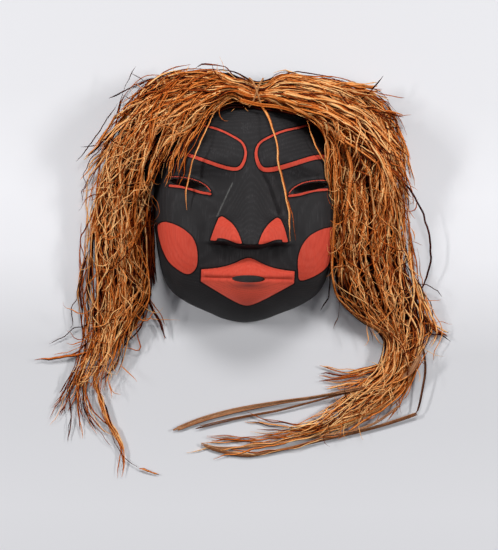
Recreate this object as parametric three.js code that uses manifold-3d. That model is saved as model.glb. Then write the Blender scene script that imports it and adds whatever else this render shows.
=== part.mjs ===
// Wild woman mask: a carved, hollow cedar mask lying on its back, with a hank of shredded cedar bark as hair.
// Millimetres, +Z up. X runs across the face, Y from chin to crown, Z out of the face.
// Shapes are drawn from the chin's tip, at X 0 and Y 0 on the plane of the rear rim. The finished
// meshes are then moved, so that the origin is under the middle of the whole object.
import * as THREE from "three";
import { mergeVertices } from "three/addons/utils/BufferGeometryUtils.js";
import Module from "manifold-3d";

const wasm = await Module();
wasm.setup();

// Driving dimensions of the carving
const MASK_HEIGHT = 308;
const FACE_DEPTH = 96;
const WALL = 13;
const FACE_CENTRE_Y = 0.47 * MASK_HEIGHT;

// The middle of the whole object, hair included, on the surface it lies on
const ORIGIN_X = -2.4;
const ORIGIN_Y = 66.2;

// Right half of the rear rim, from the chin's tip up to the crown
const RIM_HALF = [
  [0, 0], [26, 4], [48, 12.5], [76, 24.5], [98, 40], [109, 58], [116, 82],
  [121, 110], [124.5, 150], [124, 188], [116, 232], [95, 268], [56, 296], [0, MASK_HEIGHT],
];

// The dome behind the features is a superellipse in section
const DOME_ACROSS_POWER = 3.4;
const DOME_DEPTH_POWER = 2.1;
const FACE_CELLS = 36;
const CAVITY_CELLS = 18;
// How far the grid's rings crowd towards the rim, where the dome turns down
const RING_CROWDING = 0.5;

const clamp = THREE.MathUtils.clamp;
const mix = THREE.MathUtils.lerp;
const ramp = (from, to, value) => THREE.MathUtils.smoothstep(value, from, to);
const bump = (dx, dy, rx, ry) => Math.exp(-((dx / rx) ** 2) - (dy / ry) ** 2);

function rimRadii() {
  const mirrored = RIM_HALF.slice(1, -1).reverse().map(([x, y]) => [-x, y]);
  const points = [...RIM_HALF, ...mirrored].map(([x, y]) => new THREE.Vector3(x, y - FACE_CENTRE_Y, 0));
  const curve = new THREE.CatmullRomCurve3(points, true, "catmullrom", 0.5);
  const samples = curve.getPoints(720).map((p) => [Math.atan2(p.y, p.x), Math.hypot(p.x, p.y)]);
  samples.pop();
  return samples.sort((a, b) => a[0] - b[0]);
}

const RIM_RADII = rimRadii();

// Distance from the face's centre to the rim, in the direction of an angle
function rimRadius(angle) {
  const turn = 2 * Math.PI;
  const last = RIM_RADII.length - 1;
  let next = RIM_RADII.findIndex(([a]) => a > angle);
  let [a1, r1] = next < 0 ? RIM_RADII[0] : RIM_RADII[next];
  if (next < 0) a1 += turn;
  let [a0, r0] = next < 0 ? RIM_RADII[last] : RIM_RADII[next - 1] ?? RIM_RADII[last];
  if (a0 > a1) a0 -= turn;
  return mix(r0, r1, (angle - a0) / (a1 - a0));
}

// Mouth: a pursed, parted pair of lips
const LIPS_HALF_WIDTH = 61;
const MOUTH_LINE_Y = 59.5;
const upperLipEdge = (s) => 67.5 + 18.5 / (1 + (s / 24) ** 1.9);
const lowerLipEdge = (s) => 24 + 0.595 * (Math.hypot(Math.min(s, LIPS_HALF_WIDTH), 11) - 11);

function lipHeight(s, y) {
  const edge = Math.min(upperLipEdge(s) - y, y - lowerLipEdge(s), LIPS_HALF_WIDTH - s);
  if (edge <= 0) return 0;
  const lipSpan = y > MOUTH_LINE_Y ? upperLipEdge(s) - MOUTH_LINE_Y : MOUTH_LINE_Y - lowerLipEdge(s);
  const across = clamp(Math.abs(y - MOUTH_LINE_Y) / lipSpan, 0, 1);
  const pout = 11 * (1 - across ** 1.4) * (1 - 0.6 * (s / LIPS_HALF_WIDTH) ** 2);
  const parting = 6 * Math.exp(-(((y - MOUTH_LINE_Y) / 3.5) ** 2));
  return 5 * ramp(0, 4.5, edge) + pout - parting;
}

// Nose: a broad ridge that widens from the brow to the nostrils and is cut off below
const NOSE_TOP_Y = 214;
const NOSE_BASE_Y = 108;
const NOSE_RISE = 33;
const NOSE_RIDGE_TOP = 9;
const NOSE_RIDGE_BASE = 31;
const NOSTRIL_X = 33;
const NOSTRIL_Y = 117;
const NOSTRIL_RISE = 15;

function noseHeight(s, y) {
  const down = clamp((NOSE_TOP_Y - y) / (NOSE_TOP_Y - NOSE_BASE_Y), 0, 1);
  const ridgeWidth = mix(NOSE_RIDGE_TOP, NOSE_RIDGE_BASE, down);
  const ridge = NOSE_RISE * down ** 1.15 * Math.exp(-((s / ridgeWidth) ** 2.2));
  const wing = NOSTRIL_RISE * Math.exp(-(((s - NOSTRIL_X) / 17) ** 4) - ((y - NOSTRIL_Y) / 19) ** 4);
  const underEdge = 101 + 5 * ramp(10, 34, s);
  return (ridge + wing) * ramp(underEdge - 5, underEdge + 5, y);
}

// Height of the carved face over the plane of the rear rim
function faceHeight(x, y, rho) {
  const s = Math.abs(x);
  const inside = 1 - rho ** 6;
  const dome = FACE_DEPTH * (1 - rho ** DOME_ACROSS_POWER) ** (1 / DOME_DEPTH_POWER);
  const browRidge = 6 * bump(s - 58, y - 214, 52, 17);
  const eyeSocket = -9 * bump(s - 74, y - 184, 40, 20);
  const lidBulge = 5 * bump(s - 78, y - 178, 26, 12);
  const cheek = 4 * bump(s - 84, y - 100, 30, 34);
  const muzzle = 11 * bump(x, y - 52, 64, 36);
  const features = browRidge + eyeSocket + lidBulge + cheek + muzzle + noseHeight(s, y) + lipHeight(s, y);
  return dome + inside * features;
}

// Height of the smooth hollow behind the face, deeper behind the nose
function cavityHeight(x, y, rho) {
  const dome = (FACE_DEPTH - WALL) * (1 - rho ** DOME_ACROSS_POWER) ** (1 / DOME_DEPTH_POWER);
  return dome + (1 - rho ** 6) * 14 * bump(x, y - 128, 30, 40);
}

// A closed dome over the rim's outline, moved in by `inset`, whose height is a function of place.
// It is a square grid pressed into the outline, with a flat underside at `floorZ`.
function domeGeometry(cells, inset, height, floorZ) {
  const positions = [];
  const index = [];
  const side = cells + 1;
  for (let j = 0; j < side; j++) {
    for (let i = 0; i < side; i++) {
      const u = (2 * i) / cells - 1;
      const v = (2 * j) / cells - 1;
      const a = u * Math.sqrt(1 - (v * v) / 2);
      const b = v * Math.sqrt(1 - (u * u) / 2);
      const angle = Math.atan2(b, a);
      const onRim = i === 0 || j === 0 || i === cells || j === cells;
      const ring = Math.min(Math.hypot(a, b), 1);
      const rho = ring + RING_CROWDING * ring ** 3 * (1 - ring);
      const reach = rho * (rimRadius(angle) - inset);
      const x = reach * Math.cos(angle);
      const y = FACE_CENTRE_Y + reach * Math.sin(angle);
      positions.push(x, y, onRim ? floorZ : height(x, y, rho));
    }
  }
  const at = (i, j) => j * side + i;
  for (let j = 0; j < cells; j++) {
    for (let i = 0; i < cells; i++) {
      // Each cell is split along the diagonal that runs round the dome
      if ((i < cells / 2) === (j < cells / 2)) {
        index.push(at(i, j), at(i + 1, j), at(i, j + 1), at(i + 1, j), at(i + 1, j + 1), at(i, j + 1));
      } else {
        index.push(at(i, j), at(i + 1, j), at(i + 1, j + 1), at(i, j), at(i + 1, j + 1), at(i, j + 1));
      }
    }
  }
  const underside = positions.length / 3;
  positions.push(0, FACE_CENTRE_Y, floorZ);
  for (let k = 0; k < cells; k++) {
    index.push(underside, at(k + 1, 0), at(k, 0));
    index.push(underside, at(k, cells), at(k + 1, cells));
    index.push(underside, at(0, k), at(0, k + 1));
    index.push(underside, at(cells, k + 1), at(cells, k));
  }
  return new THREE.BufferGeometry()
    .setAttribute("position", new THREE.Float32BufferAttribute(positions, 3))
    .setIndex(index);
}

function toSolid(geometry) {
  const bare = geometry.clone();
  bare.deleteAttribute("normal");
  bare.deleteAttribute("uv");
  const merged = mergeVertices(bare, 1e-4);
  return new wasm.Manifold(new wasm.Mesh({
    numProp: 3,
    vertProperties: merged.attributes.position.array,
    triVerts: new Uint32Array(merged.index.array),
  }));
}

function toMesh(name, solid, material) {
  const { numProp, vertProperties, triVerts } = solid.getMesh();
  const positions = new Float32Array((vertProperties.length / numProp) * 3);
  for (let i = 0; i < positions.length / 3; i++) {
    positions.set(vertProperties.subarray(i * numProp, i * numProp + 3), i * 3);
  }
  const geometry = new THREE.BufferGeometry()
    .setAttribute("position", new THREE.BufferAttribute(positions, 3))
    .setIndex(new THREE.BufferAttribute(new Uint32Array(triVerts), 1));
  geometry.computeVertexNormals();
  const mesh = new THREE.Mesh(geometry, material);
  mesh.name = name;
  return mesh;
}

// A prism that pierces the whole face along Z
function piercing(outline) {
  const shape = new THREE.Shape(outline.map(([x, y]) => new THREE.Vector2(x, y)));
  const geometry = new THREE.ExtrudeGeometry(shape, { depth: 2 * FACE_DEPTH, bevelEnabled: false });
  return toSolid(geometry.translate(0, 0, 5));
}

// Outline of a lens-shaped slit from its centre line and half height, both functions of 0 to 1 along it
function slitOutline(steps, along, centre, halfHeight) {
  const lower = [];
  const upper = [];
  for (let k = 0; k <= steps; k++) {
    const t = k / steps;
    const h = halfHeight * (4 * t * (1 - t)) ** 0.5;
    lower.push([along(t), centre(t) - h]);
    if (k > 0 && k < steps) upper.unshift([along(t), centre(t) + h]);
  }
  return [...lower, ...upper];
}

// Eyes: half-closed slits that drop towards the nose
const EYE_INNER_X = 52;
const EYE_LENGTH = 52;
const EYE_INNER_Y = 170.5;
const EYE_RISE = 15.5;
const EYE_HALF_HEIGHT = 5.3;

function eyeOutline(side) {
  const outline = slitOutline(8, (t) => side * (EYE_INNER_X + EYE_LENGTH * t),
    (t) => EYE_INNER_Y + EYE_RISE * t ** 0.55, EYE_HALF_HEIGHT);
  return side > 0 ? outline : outline.reverse();
}

const MOUTH_HALF_LENGTH = 21.5;
const MOUTH_HALF_HEIGHT = 4.7;

function mouthOutline() {
  return slitOutline(8, (t) => mix(-MOUTH_HALF_LENGTH, MOUTH_HALF_LENGTH, t), () => MOUTH_LINE_Y - 0.3,
    MOUTH_HALF_HEIGHT);
}

// Rings of points, joined one to the next and closed with a flat fan at both ends
function loft(rings) {
  const sides = rings[0].length;
  const positions = rings.flat().flatMap((p) => [p.x, p.y, p.z]);
  const index = [];
  for (let r = 0; r < rings.length - 1; r++) {
    for (let k = 0; k < sides; k++) {
      const a = r * sides + k;
      const b = r * sides + ((k + 1) % sides);
      index.push(a, b, b + sides, a, b + sides, a + sides);
    }
  }
  const last = (rings.length - 1) * sides;
  for (let k = 1; k < sides - 1; k++) {
    index.push(0, k + 1, k);
    index.push(last, last + k, last + k + 1);
  }
  return new THREE.BufferGeometry()
    .setAttribute("position", new THREE.Float32BufferAttribute(positions, 3))
    .setIndex(index);
}

// Bark hair: the two edges of each fall, from the lashing to where it frays into tips.
// Each row: outer edge X, Y, Z, inner edge X, Y, Z, thickness. The hank lies over the crown's edge
// first, drops off the temple and then lies on the ground beside the mask.
const LEFT_FALL = [
  [24, 321, 46, 24, 287, 64, 27],
  [-24, 334, 44, -28, 285, 68, 27],
  [-63, 340, 34, -57, 272, 72, 29],
  [-110, 340, 20, -73, 254, 74, 31],
  [-153, 317, 9, -91, 231, 72, 32],
  [-181, 268, 7, -102, 197, 64, 32],
  [-210, 213, 6, -119, 171, 44, 31],
  [-223, 141, 6, -136, 131, 28, 29],
  [-227, 82, 6, -136, 82, 24, 27],
  [-225, 26, 6, -133, 27, 20, 25],
  [-217, -18, 5, -140, -27, 14, 22],
  [-219, -53, 5, -176, -59, 8, 18],
  [-222, -89, 4, -194, -94, 6, 12],
];
const RIGHT_FALL = [
  [-12, 321, 46, -12, 287, 64, 27],
  [43, 330, 44, 38, 283, 68, 27],
  [80, 330, 36, 67, 272, 73, 29],
  [129, 326, 20, 89, 249, 76, 31],
  [175, 298, 9, 97, 225, 74, 32],
  [200, 244, 7, 101, 198, 66, 32],
  [210, 190, 6, 109, 170, 58, 31],
  [222, 132, 6, 113, 127, 48, 29],
  [239, 78, 6, 117, 82, 40, 27],
  [256, 30, 6, 124, 33, 26, 25],
  [257, -13, 5, 152, -2, 14, 22],
  [243, -40, 5, 188, -24, 9, 20],
  [245, -75, 5, 184, -56, 8, 20],
  [220, -110, 5, 157, -75, 6, 18],
  [172, -137, 4, 122, -99, 5, 16],
  [105, -157, 4, 82, -126, 4, 13],
  [60, -161, 3, 50, -145, 3, 8],
];
const RINGS_PER_ROW = 2;
const LOCKS_ACROSS = 7;
const LOCK_GROOVE = 0.34;
const UNDERSIDE_POINTS = 4;

// One fall: a broad ribbon whose upper side is ridged with locks that wander across it
function fallGeometry(rows) {
  const outer = new THREE.CatmullRomCurve3(rows.map((r) => new THREE.Vector3(r[0], r[1], r[2])));
  const inner = new THREE.CatmullRomCurve3(rows.map((r) => new THREE.Vector3(r[3], r[4], r[5])));
  const topPoints = 2 * LOCKS_ACROSS;
  const rings = [];
  const count = (rows.length - 1) * RINGS_PER_ROW;
  for (let r = 0; r <= count; r++) {
    const t = r / count;
    const row = Math.min(Math.floor(r / RINGS_PER_ROW), rows.length - 2);
    const thickness = mix(rows[row][6], rows[row + 1][6], r / RINGS_PER_ROW - row);
    const from = outer.getPoint(t);
    const to = inner.getPoint(t);
    const ring = [];
    // Past the temples the hair heaps down to the ground
    const heaped = ramp(0.1, 0.24, t);
    const place = (q, half) => {
      const p = from.clone().lerp(to, (1 + q) / 2);
      p.z = half < 0 ? mix(Math.max(p.z + half, 0), 0, heaped) : p.z + half;
      ring.push(p);
    };
    const halfAt = (q) => (thickness / 2) * (1 - 0.8 * Math.abs(q) ** 2.5);
    for (let k = 0; k < UNDERSIDE_POINTS; k++) {
      const q = mix(-0.94, 0.94, k / (UNDERSIDE_POINTS - 1));
      place(q, -halfAt(q));
    }
    for (let k = 0; k <= topPoints; k++) {
      const wander = k % topPoints === 0 ? 0 : 0.06 * Math.sin(5 + 9 * t + 1.9 * k);
      const q = mix(1, -1, k / topPoints) + wander;
      const groove = k % 2 === 0 ? LOCK_GROOVE * (1.2 + 0.5 * Math.sin(11 * t + 2.3 * k)) : 0;
      place(q, halfAt(q) * (1 - groove));
    }
    rings.push(rows === LEFT_FALL ? ring : ring.reverse());
  }
  return loft(rings);
}

// Loose locks and flat strips that leave the falls: width, thickness, height of the root, then X and Y
// of a few places from the root to the tip
const LOOSE_LOCKS = [
  [13, 9, 9, [-178, 5], [-223, -37], [-252, -47], [-283, -52]],
  [17, 10, 7, [-214, -45], [-229, -105], [-260, -142]],
  [18, 10, 7, [-208, -62], [-218, -121], [-235, -165]],
  [15, 10, 7, [-206, -70], [-205, -118], [-203, -159]],
  [15, 10, 7, [-202, -72], [-188, -125], [-177, -167], [-160, -206]],
  [16, 10, 7, [-198, -75], [-183, -143], [-155, -192], [-110, -208]],
  [10, 8, 14, [-148, 55], [-123, 9], [-105, -24]],
  [16, 10, 12, [-160, -5], [-140, -40], [-168, -72]],
  [14, 9, 16, [-172, 270], [-198, 236], [-225, 204]],
  [18, 9, 50, [100, 305], [145, 318], [180, 323]],
  [18, 10, 26, [160, 270], [192, 255], [220, 232]],
  [9, 7, 12, [225, 45], [258, 6], [278, -13]],
  [10, 5, 9, [200, -82], [128, -94], [37, -113], [-88, -146]],
  [10, 5, 8, [190, -92], [108, -108], [23, -123], [-54, -139]],
  [14, 8, 6, [95, -138], [40, -144], [8, -137]],
  [15, 8, 6, [90, -148], [16, -167], [-44, -174]],
  [12, 7, 6, [90, -142], [-6, -156], [-74, -162]],
  [12, 7, 7, [210, -115], [172, -143], [113, -160], [16, -182]],
];
const LOCK_STEPS = 4;
const LOCK_SIDES = 4;

function looseLock([width, thickness, rootZ, ...places]) {
  const path = new THREE.CatmullRomCurve3(places.map(([x, y]) => new THREE.Vector3(x, y, 0)));
  const rings = [];
  for (let r = 0; r <= LOCK_STEPS; r++) {
    const t = r / LOCK_STEPS;
    const p = path.getPoint(t);
    const along = path.getTangent(t);
    const taper = 1 - 0.82 * t ** 1.6;
    const halfHeight = (thickness / 2) * taper;
    const z = Math.max(halfHeight, rootZ * (1 - t / 0.55));
    const ring = [];
    for (let k = 0; k < LOCK_SIDES; k++) {
      // A corner on each side of straight down, so that the lock lies flat
      const angle = (2 * Math.PI * (k + 0.5)) / LOCK_SIDES - Math.PI / 2;
      const side = ((width / 2) * taper * Math.cos(angle)) / Math.cos(Math.PI / LOCK_SIDES);
      const rise = (halfHeight * Math.sin(angle)) / Math.cos(Math.PI / LOCK_SIDES);
      ring.push(new THREE.Vector3(p.x - along.y * side, p.y + along.x * side, z + rise));
    }
    rings.push(ring);
  }
  return loft(rings);
}

// Lashing: two bark twines that cross over the hank, go through the crown and are knotted inside
const TWINE_RADIUS = 1.5;
const TWINE_SIDES = 5;
const TWINE_STEPS = 21;
const LASHING_X = 7;
const LASHING_SPREAD = 9;
const HOLE_RADIUS = 3.4;
const FRONT_HOLE_LENGTH = 70;
const BACK_HOLE_LENGTH = 40;
const HANK_CENTRE_Y = 304;
const HANK_CENTRE_Z = 56;
const HANK_HALF_LENGTH = 20;
const HANK_HALF_THICKNESS = 13.5;
const HANK_SLOPE = Math.atan2(64 - 46, 321 - 287);
const FRONT_HOLE_Y = 289;
const BACK_HOLE_Z = 16;
const KNOT_RADIUS = 3.6;

function twinePath(side, lift) {
  const points = [
    [-1, FRONT_HOLE_Y - 9, 22],
    [-1, FRONT_HOLE_Y - 2, 24],
    [-1, FRONT_HOLE_Y, 32],
    [-1, FRONT_HOLE_Y, 57],
    [-1, FRONT_HOLE_Y - 3, 67],
  ];
  for (let turn = 22.5; turn <= 180; turn += 22.5) {
    const angle = THREE.MathUtils.degToRad(turn);
    const reach = TWINE_RADIUS + lift * Math.exp(-(((turn - 90) / 30) ** 2));
    const u = -(HANK_HALF_LENGTH + reach) * Math.cos(angle);
    const v = (HANK_HALF_THICKNESS + reach) * Math.sin(angle);
    points.push([
      mix(-1, 1, turn / 200),
      HANK_CENTRE_Y + u * Math.cos(HANK_SLOPE) + v * Math.sin(HANK_SLOPE),
      HANK_CENTRE_Z - u * Math.sin(HANK_SLOPE) + v * Math.cos(HANK_SLOPE),
    ]);
  }
  points.push([1, 321, BACK_HOLE_Z + 12], [1, 312, BACK_HOLE_Z + 1], [1, 281, BACK_HOLE_Z]);
  return new THREE.CatmullRomCurve3(points.map(([across, y, z]) =>
    new THREE.Vector3(LASHING_X + side * LASHING_SPREAD * across, y, z)));
}

function twineGeometry(path, radius) {
  const section = new THREE.Shape();
  for (let k = 0; k < TWINE_SIDES; k++) {
    const angle = (2 * Math.PI * k) / TWINE_SIDES;
    if (k === 0) section.moveTo(radius, 0);
    else section.lineTo(radius * Math.cos(angle), radius * Math.sin(angle));
  }
  return new THREE.ExtrudeGeometry(section, { steps: TWINE_STEPS, bevelEnabled: false, extrudePath: path });
}

function hole(radius, length, x, y, z, tilt) {
  return toSolid(new THREE.CylinderGeometry(radius, radius, length, 8).rotateX(tilt).translate(x, y, z));
}

// Mask
let maskSolid = toSolid(domeGeometry(FACE_CELLS, 0, faceHeight, 0));
maskSolid = maskSolid.subtract(toSolid(domeGeometry(CAVITY_CELLS, WALL, cavityHeight, -1)));
for (const side of [-1, 1]) {
  maskSolid = maskSolid.subtract(piercing(eyeOutline(side)));
  const x = LASHING_X + side * LASHING_SPREAD;
  maskSolid = maskSolid.subtract(hole(HOLE_RADIUS, FRONT_HOLE_LENGTH, x, FRONT_HOLE_Y, 50, Math.PI / 2));
  maskSolid = maskSolid.subtract(hole(HOLE_RADIUS, BACK_HOLE_LENGTH, x, MASK_HEIGHT - 8, BACK_HOLE_Z, 0));
}
maskSolid = maskSolid.subtract(piercing(mouthOutline()));

// Lashing and hair, each kept clear of what it rests on
const CLEARANCE = 0.4;
const twinePaths = [twinePath(1, 0), twinePath(-1, 2.4)];
let lashingSolid = null;
let hairSolid = toSolid(fallGeometry(LEFT_FALL)).add(toSolid(fallGeometry(RIGHT_FALL)));
for (const lock of LOOSE_LOCKS) {
  hairSolid = hairSolid.add(toSolid(looseLock(lock)));
}
const coveredFace = (x, y, rho) => faceHeight(x, y, rho) + CLEARANCE;
hairSolid = hairSolid.subtract(toSolid(domeGeometry(FACE_CELLS, -CLEARANCE, coveredFace, -1)));
for (const path of twinePaths) {
  hairSolid = hairSolid.subtract(toSolid(twineGeometry(path, TWINE_RADIUS + CLEARANCE)));
  let twine = toSolid(twineGeometry(path, TWINE_RADIUS));
  for (const end of [path.getPoint(0), path.getPoint(1)]) {
    twine = twine.add(toSolid(new THREE.IcosahedronGeometry(KNOT_RADIUS, 0).translate(end.x, end.y, end.z)));
  }
  lashingSolid = lashingSolid ? lashingSolid.add(twine) : twine;
}

const cedar = new THREE.MeshStandardMaterial({ color: 0x343132, roughness: 0.55, metalness: 0 });
const bark = new THREE.MeshStandardMaterial({ color: 0xa8602f, roughness: 0.8, metalness: 0 });
const twineBark = new THREE.MeshStandardMaterial({ color: 0x9a5a30, roughness: 0.8, metalness: 0 });

const wildWomanMask = new THREE.Group();
wildWomanMask.add(toMesh("mask", maskSolid, cedar));
wildWomanMask.add(toMesh("bark_hair", hairSolid, bark));
wildWomanMask.add(toMesh("lashing", lashingSolid, twineBark));

for (const mesh of wildWomanMask.children) {
  mesh.position.set(-ORIGIN_X, -ORIGIN_Y, 0);
}

export default wildWomanMask;
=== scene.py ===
import math

import bpy
import numpy as np
from mathutils import Matrix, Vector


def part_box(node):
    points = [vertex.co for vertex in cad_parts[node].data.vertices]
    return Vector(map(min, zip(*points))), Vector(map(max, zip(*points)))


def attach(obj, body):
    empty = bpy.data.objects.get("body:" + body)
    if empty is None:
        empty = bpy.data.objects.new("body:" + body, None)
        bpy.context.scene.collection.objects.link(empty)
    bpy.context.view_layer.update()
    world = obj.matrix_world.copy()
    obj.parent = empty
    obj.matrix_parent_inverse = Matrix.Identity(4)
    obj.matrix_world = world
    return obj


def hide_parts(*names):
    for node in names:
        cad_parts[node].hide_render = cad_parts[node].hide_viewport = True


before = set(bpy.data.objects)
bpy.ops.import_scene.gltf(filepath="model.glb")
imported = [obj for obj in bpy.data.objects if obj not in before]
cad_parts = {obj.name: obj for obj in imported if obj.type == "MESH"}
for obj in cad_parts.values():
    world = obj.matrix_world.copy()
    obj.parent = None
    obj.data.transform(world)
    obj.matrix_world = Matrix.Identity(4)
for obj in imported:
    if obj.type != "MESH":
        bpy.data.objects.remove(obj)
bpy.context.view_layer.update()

# --- The ground and the light around the mask ---
# A wide matt white sheet that the mask lies on, lit by a long soft box on each side and a stronger
# one beyond the crown. The camera looks down on the face, a little from the viewer's left.
SHEET_REACH = 6.0
SHEET_DROP = 0.0004
SHEET_WHITE = (0.80, 0.80, 0.825)
# Painted shade on the sheet, from below the chin (0) to beyond the crown (1): its share of that white, darker
# in a band below the chin and towards the crown
SHADED_REACH = 0.40
SHEET_PAINTED_SHADE = [
    (0.10, 0.91), (0.25, 0.83), (0.37, 0.80), (0.53, 1.0), (0.64, 1.02), (0.80, 0.92), (1.0, 0.88),
]


class Recipe:
    """A node tree that is made one node at a time, each joined to what feeds its sockets."""

    def __init__(self, tree):
        self.tree = tree

    def add(self, kind, settings=None, **inputs):
        node = self.tree.nodes.new(kind)
        for key, value in (settings or {}).items():
            setattr(node, key, value)
        for key, value in inputs.items():
            self.give(node, key.replace("_", " "), value)
        return node

    def give(self, node, key, value):
        """Feeds a socket, which is known by its name or as n and its number."""
        socket = node.inputs[int(key[1:])] if key[0] == "n" and key[1:].isdigit() else node.inputs[key]
        if isinstance(value, bpy.types.NodeSocket):
            self.tree.links.new(value, socket)
        else:
            socket.default_value = value


class Finish(Recipe):
    """The recipe of one surface finish."""

    def __init__(self, name):
        self.material = bpy.data.materials.new(name)
        self.material.use_nodes = True
        super().__init__(self.material.node_tree)

    def surface(self, key, value):
        self.give(self.tree.nodes["Principled BSDF"], key, value)

    def place(self, scale=(1, 1, 1), shift=(0, 0, 0)):
        spot = self.add("ShaderNodeTexCoord").outputs["Object"]
        return self.add("ShaderNodeMapping", Vector=spot, Scale=scale, Location=shift).outputs["Vector"]

    def shades(self, tone, stops):
        """Colours along a tone from 0 to 1, each with its spot on that scale."""
        ramp_node = self.add("ShaderNodeValToRGB", Fac=tone)
        elements = ramp_node.color_ramp.elements
        while len(elements) < len(stops):
            elements.new(0.5)
        for stop, (spot, shade) in zip(elements, stops):
            stop.position = spot
            stop.color = (*shade, 1)
        return ramp_node.outputs["Color"]


def put(name, data):
    """A new object of the scene, at the origin."""
    thing = bpy.data.objects.new(name, data)
    bpy.context.collection.objects.link(thing)
    return thing


sheet_mesh = bpy.data.meshes.new("ground")
corners = ((-1, -1), (1, -1), (1, 1), (-1, 1))
sheet_corners = [(SHEET_REACH * x, SHEET_REACH * y, -SHEET_DROP) for x, y in corners]
sheet_mesh.from_pydata(sheet_corners, [], [(0, 1, 2, 3)])
paper = Finish("ground_paper")
paper.surface("Roughness", 0.9)
along_sheet = paper.add("ShaderNodeSeparateXYZ", Vector=paper.place()).outputs["Y"]
sheet_part = paper.add("ShaderNodeMapRange", Value=along_sheet, From_Min=-SHADED_REACH, From_Max=SHADED_REACH)
# The sheet's white, darkened in bands by these shares: painted shade on the paper
sheet_shaded_whites = [(spot, [share * part for part in SHEET_WHITE]) for spot, share in SHEET_PAINTED_SHADE]
paper.surface("Base Color", paper.shades(sheet_part.outputs[0], sheet_shaded_whites))
sheet_mesh.materials.append(paper.material)
ground = put("ground", sheet_mesh)


def soft_box(name, place, aim, size, watts):
    light = bpy.data.lights.new(name, "AREA")
    light.shape = "RECTANGLE"
    light.size, light.size_y = size
    light.energy = watts
    holder = put(name, light)
    holder.location = place
    towards = np.array(aim, float) - np.array(place, float)
    yaw = math.atan2(towards[1], towards[0]) - math.pi / 2
    pitch = math.atan2(math.hypot(towards[0], towards[1]), -towards[2])
    holder.rotation_euler = (pitch, 0, yaw)


soft_box("soft_box_left", (-2.6, 0.6, 1.6), (0, 0, 0.05), (1.0, 0.2), 52)
soft_box("soft_box_right", (2.6, 0.6, 1.6), (0, 0, 0.05), (1.0, 0.2), 53)
soft_box("soft_box_crown", (0.0, 2.6, 2.6), (0, 0, 0.05), (1.4, 0.7), 66)
# A faint glow stands for the daylight that leaks in under the chin's rim, seen through the mouth
soft_box("glow_under_chin", (0.002, 0.012, 0.045), (0.002, -0.006, 0.0), (0.03, 0.02), 0.0011)

# The room's light is weaker from the viewer's side, below the chin, than from beyond the crown
ROOM_TINT = (0.93, 0.94, 1.0, 1)
ROOM_BELOW_CHIN = 0.07
ROOM_ABOVE_CROWN = 0.26

bpy.context.scene.world = bpy.data.worlds.new("room")
bpy.context.scene.world.use_nodes = True
room = Recipe(bpy.context.scene.world.node_tree)
compass = room.add("ShaderNodeTexCoord").outputs["Generated"]
heading = room.add("ShaderNodeSeparateXYZ", Vector=compass).outputs["Y"]
fading = room.add(
    "ShaderNodeMapRange", Value=heading, From_Min=-1.0, From_Max=1.0,
    To_Min=ROOM_BELOW_CHIN, To_Max=ROOM_ABOVE_CROWN,
)
room.give(room.tree.nodes["Background"], "Color", ROOM_TINT)
room.give(room.tree.nodes["Background"], "Strength", fading.outputs[0])

VIEW_DISTANCE = 2.4
VIEW_FROM_LEFT = math.radians(3.0)
VIEW_ROLL = -0.022
VIEW_CENTRE = (0.0084, -0.002, 0)
MM_PER_PIXEL = 1.355
IMAGE_WIDTH = 498
SENSOR_WIDTH = 36

lens = bpy.data.cameras.new("camera")
lens.sensor_fit = "HORIZONTAL"
lens.sensor_width = SENSOR_WIDTH
lens.lens = SENSOR_WIDTH * VIEW_DISTANCE * 1000 / MM_PER_PIXEL / IMAGE_WIDTH
lens.clip_end = 50
camera = put("camera", lens)
look_back = np.array([-math.sin(VIEW_FROM_LEFT), 0, math.cos(VIEW_FROM_LEFT)])
look_right = np.cross([math.sin(VIEW_ROLL), math.cos(VIEW_ROLL), 0], look_back)
look_right /= np.linalg.norm(look_right)
pose = np.eye(4)
pose[:3, :3] = np.stack([look_right, np.cross(look_back, look_right), look_back], 1)
pose[:3, 3] = np.array(VIEW_CENTRE) + VIEW_DISTANCE * look_back
camera.matrix_world = Matrix(pose.tolist())
bpy.context.scene.camera = camera
bpy.context.scene.view_settings.view_transform = "Standard"

# --- The carved mask ---
# One block of red cedar, carved as a broad face with a wide nose and parted lips, hollowed out
# behind to a wall of 13 mm, and pierced at the eyes, at the mouth and under the hair for twine.
# Lengths are in millimetres from the chin's tip, as the carver would measure them.
MASK_HEIGHT = 308.0
FACE_DEPTH = 96.0
WALL = 13.0
FACE_CENTRE_Y = 0.47 * MASK_HEIGHT
RIM_HALF = [
    (0, 0), (26, 4), (48, 12.5), (76, 24.5), (98, 40), (109, 58), (116, 82),
    (121, 110), (124.5, 150), (124, 188), (116, 232), (95, 268), (56, 296), (0, MASK_HEIGHT),
]
DOME_ACROSS_POWER = 3.4
DOME_DEPTH_POWER = 2.1
CARVING_CELLS = 250
RING_CROWDING = 0.5

mask_low, mask_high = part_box("mask")
CHIN = np.array([(mask_low[0] + mask_high[0]) / 2, mask_low[1], 0.0])


def metres(points):
    return np.asarray(points, float) / 1000 + CHIN


def curve_points(points, count, closed=False):
    """A smooth curve through the points, at even steps between them."""
    p = np.asarray(points, float)
    if closed:
        p = np.vstack([p[-1:], p, p[:2]])
    else:
        p = np.vstack([2 * p[0] - p[1], p, 2 * p[-1] - p[-2]])
    spans = len(p) - 3
    u = np.linspace(0, spans, count, endpoint=not closed)
    i = np.minimum(u.astype(int), spans - 1)
    t = (u - i)[:, None]
    a, b, c, d = p[i], p[i + 1], p[i + 2], p[i + 3]
    return 0.5 * (2 * b + (c - a) * t + (2 * a - 5 * b + 4 * c - d) * t**2 + (3 * b - a - 3 * c + d) * t**3)


rim_curve = curve_points(RIM_HALF + [(-x, y) for x, y in RIM_HALF[-2:0:-1]], 2000, closed=True)
rim_curve[:, 1] -= FACE_CENTRE_Y
rim_angles = np.arctan2(rim_curve[:, 1], rim_curve[:, 0])
rim_radii = np.hypot(rim_curve[:, 0], rim_curve[:, 1])
rim_order = np.argsort(rim_angles)


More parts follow.
